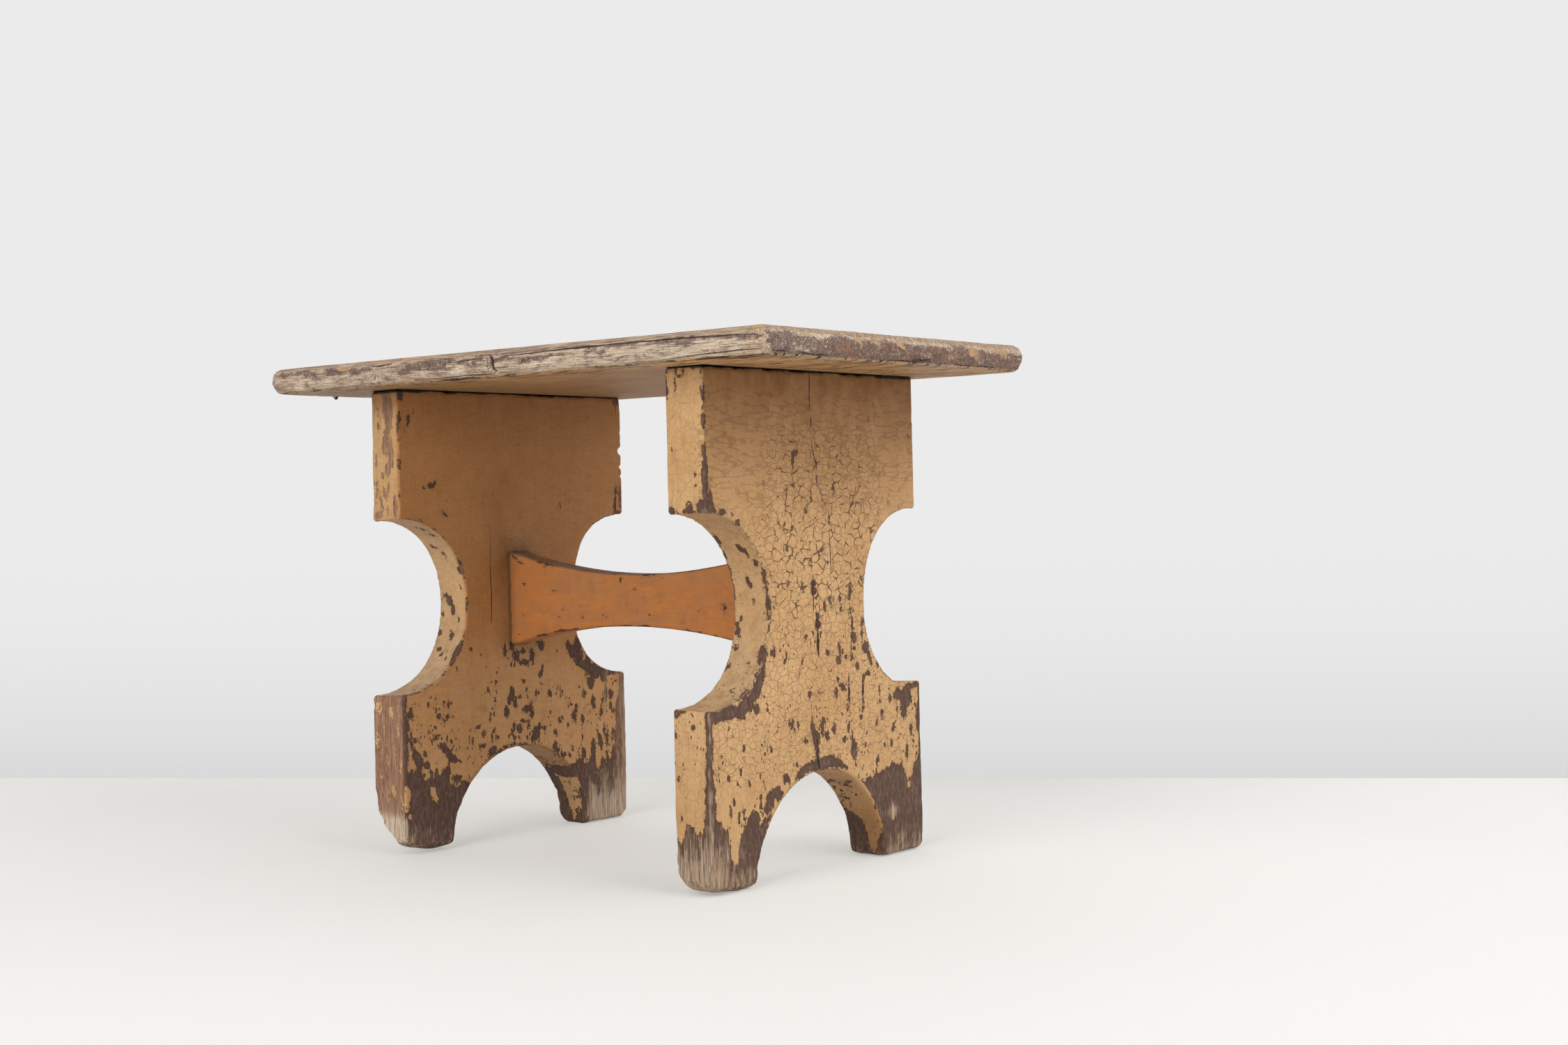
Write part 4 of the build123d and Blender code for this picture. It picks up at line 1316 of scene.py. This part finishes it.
    def splits(self):
        """Lines and cracks in the edges and below, and painted shadow in the gap over the legs and round the
        splinter.
        """
        x, y, z = self.places.T
        check, check_width = nearest_check(z, x, front_edge_lines)
        from_line = abs(self.from_edge - 8.5)
        under_line = (from_line < 1.3) & (z < seat_low.z + 4) & (self.fine > 0.1) & (x < 190)
        check, check_width = split_open((check, where(self.on_front, check_width, 0)), (under_line, 0.25))
        placed = ((x, z, front_edge_slot, self.on_front), (y, x, under_cracks, self.below),
                  (z, y, end_cracks, self.on_right))
        for across, up, marks, here in placed:
            crack, crack_width = nearest_check(across, up, marks)
            cracked = (crack_width > 0) & here
            check = where(cracked, crack, check)
            check_width = where(cracked, crack_width, check_width)
        # painted shadow in the gap over the legs and in a ring round the hanging splinter
        in_gap_shadow = self.below & (over_legs(x, y, seat_gap_shadow) | (self.from_splinter < 3.4))
        return split_open((check, check_width), (in_gap_shadow, 1.0))

    def wear(self, fields):
        """Weathers the board's edges in ridges along the grain, and cuts the slot in its front edge."""
        x, y, z = self.places.T
        normal_x, normal_y, normal_z = self.normals.T
        ridges = self.rough((44, 3.6, 3.0), 600, 3)
        dents = maximum(self.rough((26, 16, 12), 610, 3) - 0.15, 0)
        end_pits = maximum(self.rough((3.6, 4.5, 3.6), 620, 3), -0.5)
        weathered = where(abs(normal_y) > 0.35, 0.5 + ridges, 0)
        weathered = weathered + where(abs(normal_x) > 0.35, 0.6 + 1.2 * end_pits, 0)
        weathered = weathered + 2.0 * dents - 0.25 * ease(fields["bared"], 1, -1)
        hollow = 0.8 * exp(-((x / 190) ** 2 + (y / 95) ** 2))
        worn_top = hollow + 0.22 * self.rough((60, 5, 5), 640, 3) + 0.2
        slotted = 3.4 * slot_depth(x, z) - 0.35 * (slot_depth(x + 4.5, z) + slot_depth(x - 4.0, z))
        knot = exp(-(((x + 145) / 5) ** 2 + ((z - 424) / 3.5) ** 2))
        depth = 0.3 + 0.25 * smooth_noise(self.places, (160, 60, 60), 630) + self.side_share * weathered
        depth = depth + ease(normal_z, 0.5, 0.9) * worn_top + 0.2 * ease(fields["flaked"], -0.5, 0.7)
        depth = depth + ease(y, seat_low.y + 7, seat_low.y + 2) * (slotted + 1.2 * knot)
        under_rest = (normal_z < -0.6) & over_legs(x, y, seat_rest)
        self.sink(where(under_rest, 0.05, maximum(depth, 0)))


def make_seat():
    nails = nail_names("seat", "left", "right")
    seat = Seat(nails)
    check, check_width = seat.splits()
    fields = {"flaked": seat.flaked(), "bared": seat.bared(), "check": check, "check_width": check_width}
    seat.note(fields | seat.tones())
    seat.wear(fields)
    seat.dish(nails, 6.4, 1.5)
    seat.keep()
    from_splinter = hypot(*(seat.places.T[axis] - splinter[axis] for axis in (0, 1)))
    hanging = ease(from_splinter, 3.0, 0.5) * (seat.places[:, 2] < seat_low.z + 2)
    seat.places[:, 2] -= splinter_length * hanging
    piece = seat.write(seat_paint)
    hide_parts("seat_board")
    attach(piece, "root")


seat_paint = painted_wood(
    "seat_wood", 0, linear(190, 146, 96), linear(200, 160, 112), linear(112, 74, 38), linear(98, 78, 72),
    linear(134, 112, 102), linear(146, 118, 96), linear(202, 178, 152), crease_size=(46, 6.5, 6.5),
    fine_cracks=0.3, roughness_relief=0.8, speckle=0.8, shift=100,
)
make_seat()


# Stretcher: marks on its front face run along X and up Z
stretcher_flakes = (
    (-152, 262, 4, 1.2, -25), (-146, 258, 3, 0.9, -20), (-17, 241, 1.2, 2.6), (105, 219, 1.8, 1.6),
    (18, 212, 1.2, 0.9), (-130, 185, 10, 1.6, 14), (-148, 182, 9, 1.6), (-115, 190, 8, 1.3, 16),
)


def make_stretcher():
    skin = Skin("stretcher", stretcher_voxel, nail_names("stretcher", "left", "right"))
    x, y, z = skin.places.T
    normal_z = skin.normals[:, 2]
    front = y - skin.low[1]
    sharp = ease(skin.bulge, 0.1, 0.9)
    blobs = skin.rough((11, 11, 11), 700)
    dusty = skin.rough((26, 12, 9), 720)
    arrises = sharp * 4.2 - 4.0 + 2.6 * blobs + where(z < stretcher_z, 1.1, 0.2)
    # darker on top, towards the ends by the legs and in patches
    dirt_and_shade = 0.14 + 0.6 * ease(normal_z, 0.3, 0.8) + 0.45 * ease(abs(x), 150, 161) + 0.1 * blobs + 0.16 * dusty
    # painted shadow line where the stretcher's end meets the left leg
    touching = (x < -159.4) & (front < 24)
    skin.note({
        "flaked": maximum(inside_marks(x, z, stretcher_flakes) - 1.2 * front, arrises),
        "bared": -FAR,
        "check": where(touching, 0.0, FAR),
        "check_width": where(touching, 0.6, 0.0),
        "dirt_and_shade": dirt_and_shade,
        "chipping": 0.003,
        "greyed": 0.7 * ease(normal_z, 0.4, 0.8) + 0.12 * clip(dusty, 0, 1),
    })
    skin.sink(0.12 + 0.15 * smooth_noise(skin.places, 40, 710) + sharp * (0.2 + 0.9 * maximum(blobs, 0)))
    skin.keep()
    piece = skin.write(stretcher_paint)
    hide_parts("stretcher")
    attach(piece, "root")


stretcher_paint = painted_wood(
    "stretcher_paint", 0, linear(179, 111, 50), linear(172, 108, 58), linear(104, 78, 58),
    linear(74, 48, 32), linear(104, 72, 50), dark_wood, pale_wood, crease_size=(30, 6, 6), crack_depth=0.4,
    fine_cracks=0.12, shift=200,
)
make_stretcher()


# Nails keep their nodes
bare_iron = rusty_iron("bare_iron", 0.0)
painted_iron = rusty_iron("painted_iron", 1.0)
for node_name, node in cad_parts.items():
    if "nail" in node_name:
        node.data.materials.clear()
        node.data.materials.append(painted_iron if "stretcher" in node_name else bare_iron)


# Camera
def photo_directions():
    """The camera's right, up and back directions."""
    back = Vector((math.sin(camera_yaw) * math.cos(camera_pitch),
                   -math.cos(camera_yaw) * math.cos(camera_pitch), math.sin(camera_pitch)))
    level = Vector((math.cos(camera_yaw), math.sin(camera_yaw), 0))
    above = back.cross(level)
    right = math.cos(camera_roll) * level + math.sin(camera_roll) * above
    up = math.cos(camera_roll) * above - math.sin(camera_roll) * level
    return right, up, back


def add_camera():
    data = bpy.data.cameras.new("camera")
    data.sensor_width = sensor_width
    data.lens = focal_pixels / photo_width * sensor_width
    camera = add_object("camera", data)
    turned = Matrix(photo_directions()).transposed().to_4x4()
    turned.translation = camera_place
    camera.matrix_world = turned
    scene.camera = camera


def floor_place(column, row):
    """The place on the floor that the photograph shows at a pixel."""
    right, up, back = photo_directions()
    across = (column - photo_width / 2) / focal_pixels
    down = (row - photo_height / 2) / focal_pixels
    way = right * across - up * down - back
    return camera_place + way * (-camera_place.z / way.z)


# Floor and wall
def wall_finish():
    """A pale wall with painted shade towards the floor, and clear from behind so that it hides nothing."""
    nodes = Finish("wall")
    height = Value(nodes, nodes.add("ShaderNodeSeparateXYZ", (nodes.place,)).outputs["Z"])
    above = 1.0 - (height * (MM / wall_shade_height)).most(0.0).least(1.0)
    colour = nodes.mix(1.0 - above.math("POWER", 2.2), linear(217, 217, 217), linear(235, 235, 235))
    nodes.surface.inputs["Base Color"].default_value = linear(225, 225, 225)
    nodes.surface.inputs["Roughness"].default_value = 0.9
    behind = nodes.add("ShaderNodeNewGeometry").outputs["Backfacing"]
    front = nodes.shown(colour, 1.0)
    return nodes.output(nodes.blend(behind, front, nodes.add("ShaderNodeBsdfTransparent")))


def floor_finish():
    """A matt near-white floor with faint scuffs, all its own colour far from the lights."""
    nodes = Finish("floor")
    wide = nodes.noise((900, 900, 900), 2, 2.0)
    scuffs = nodes.noise((5, 3, 3), 8, 3.0, 0.6)
    colour = nodes.mix(wide.ramp(0.35, 0.65), linear(232, 231, 228), linear(238, 237, 234))
    colour = nodes.mix(scuffs.ramp(0.72, 0.8, 0.0, 0.25), colour, linear(200, 196, 190))
    nodes.finish(colour, 0.7, scuffs * 0.05, specular=0.2)
    length = nodes.add("ShaderNodeVectorMath", (nodes.place,), operation="LENGTH")
    away = Value(nodes, length.outputs["Value"])
    return nodes.output(nodes.shown(linear(233, 232, 228), away.ramp(1900, 3800, 0.42, 1.0)))


def sheet_of(name, corners, material):
    mesh = bpy.data.meshes.new(name)
    mesh.from_pydata([tuple(corner) for corner in corners], [], [(0, 1, 2, 3)])
    mesh.materials.append(material)
    sheet = add_object(name, mesh)


def add_room():
    """A floor, and a wall along the line where the photograph shows them meet."""
    first, last = floor_place(0, wall_line), floor_place(photo_width, wall_line)
    along = (last - first).normalized()
    middle = (first + last) / 2
    left, right = middle - along * room_half_width, middle + along * room_half_width
    behind = Vector((-along.y, along.x, 0)) * room_depth
    rise = Vector((0, 0, wall_height))
    sheet_of("floor", (left + behind, right + behind, right - behind, left - behind), floor_finish())
    sheet_of("wall", (left, right, right + rise, left + rise), wall_finish())


# Light
def add_light(name, place, aim, power):
    """A tall soft box at a place, turned to what it aims at."""
    data = bpy.data.lights.new(name, "AREA")
    data.shape = "RECTANGLE"
    data.size, data.size_y = soft_box
    data.energy = power
    light = add_object(name, data)
    light.visible_camera = False
    light.location = place
    light.rotation_euler = (Vector(aim) - Vector(place)).to_track_quat("-Z", "Y").to_euler()


def add_sky():
    """A weak white sky that shows a pale grey where it is seen."""
    world = bpy.data.worlds.new("sky")
    world.use_nodes = True
    sky = Nodes(world.node_tree)
    light = sky.tree.nodes["Background"]
    light.inputs["Color"].default_value = (1, 1, 1, 1)
    light.inputs["Strength"].default_value = 0.3
    shown = sky.add("ShaderNodeBackground", {"Color": linear(235, 235, 235)})
    both = sky.blend(sky.seen_directly(), light, shown)
    sky.feed(sky.tree.nodes["World Output"].inputs["Surface"], both.outputs[0])
    scene.world = world


add_camera()
add_room()
add_light("right_key", (2.7, 0.1, 1.75), (0.1, 0, 0.3), 62)
add_light("front_key", (0.4, -2.9, 1.75), (0, 0, 0.3), 78)
add_sky()
scene.view_settings.view_transform = "Standard"
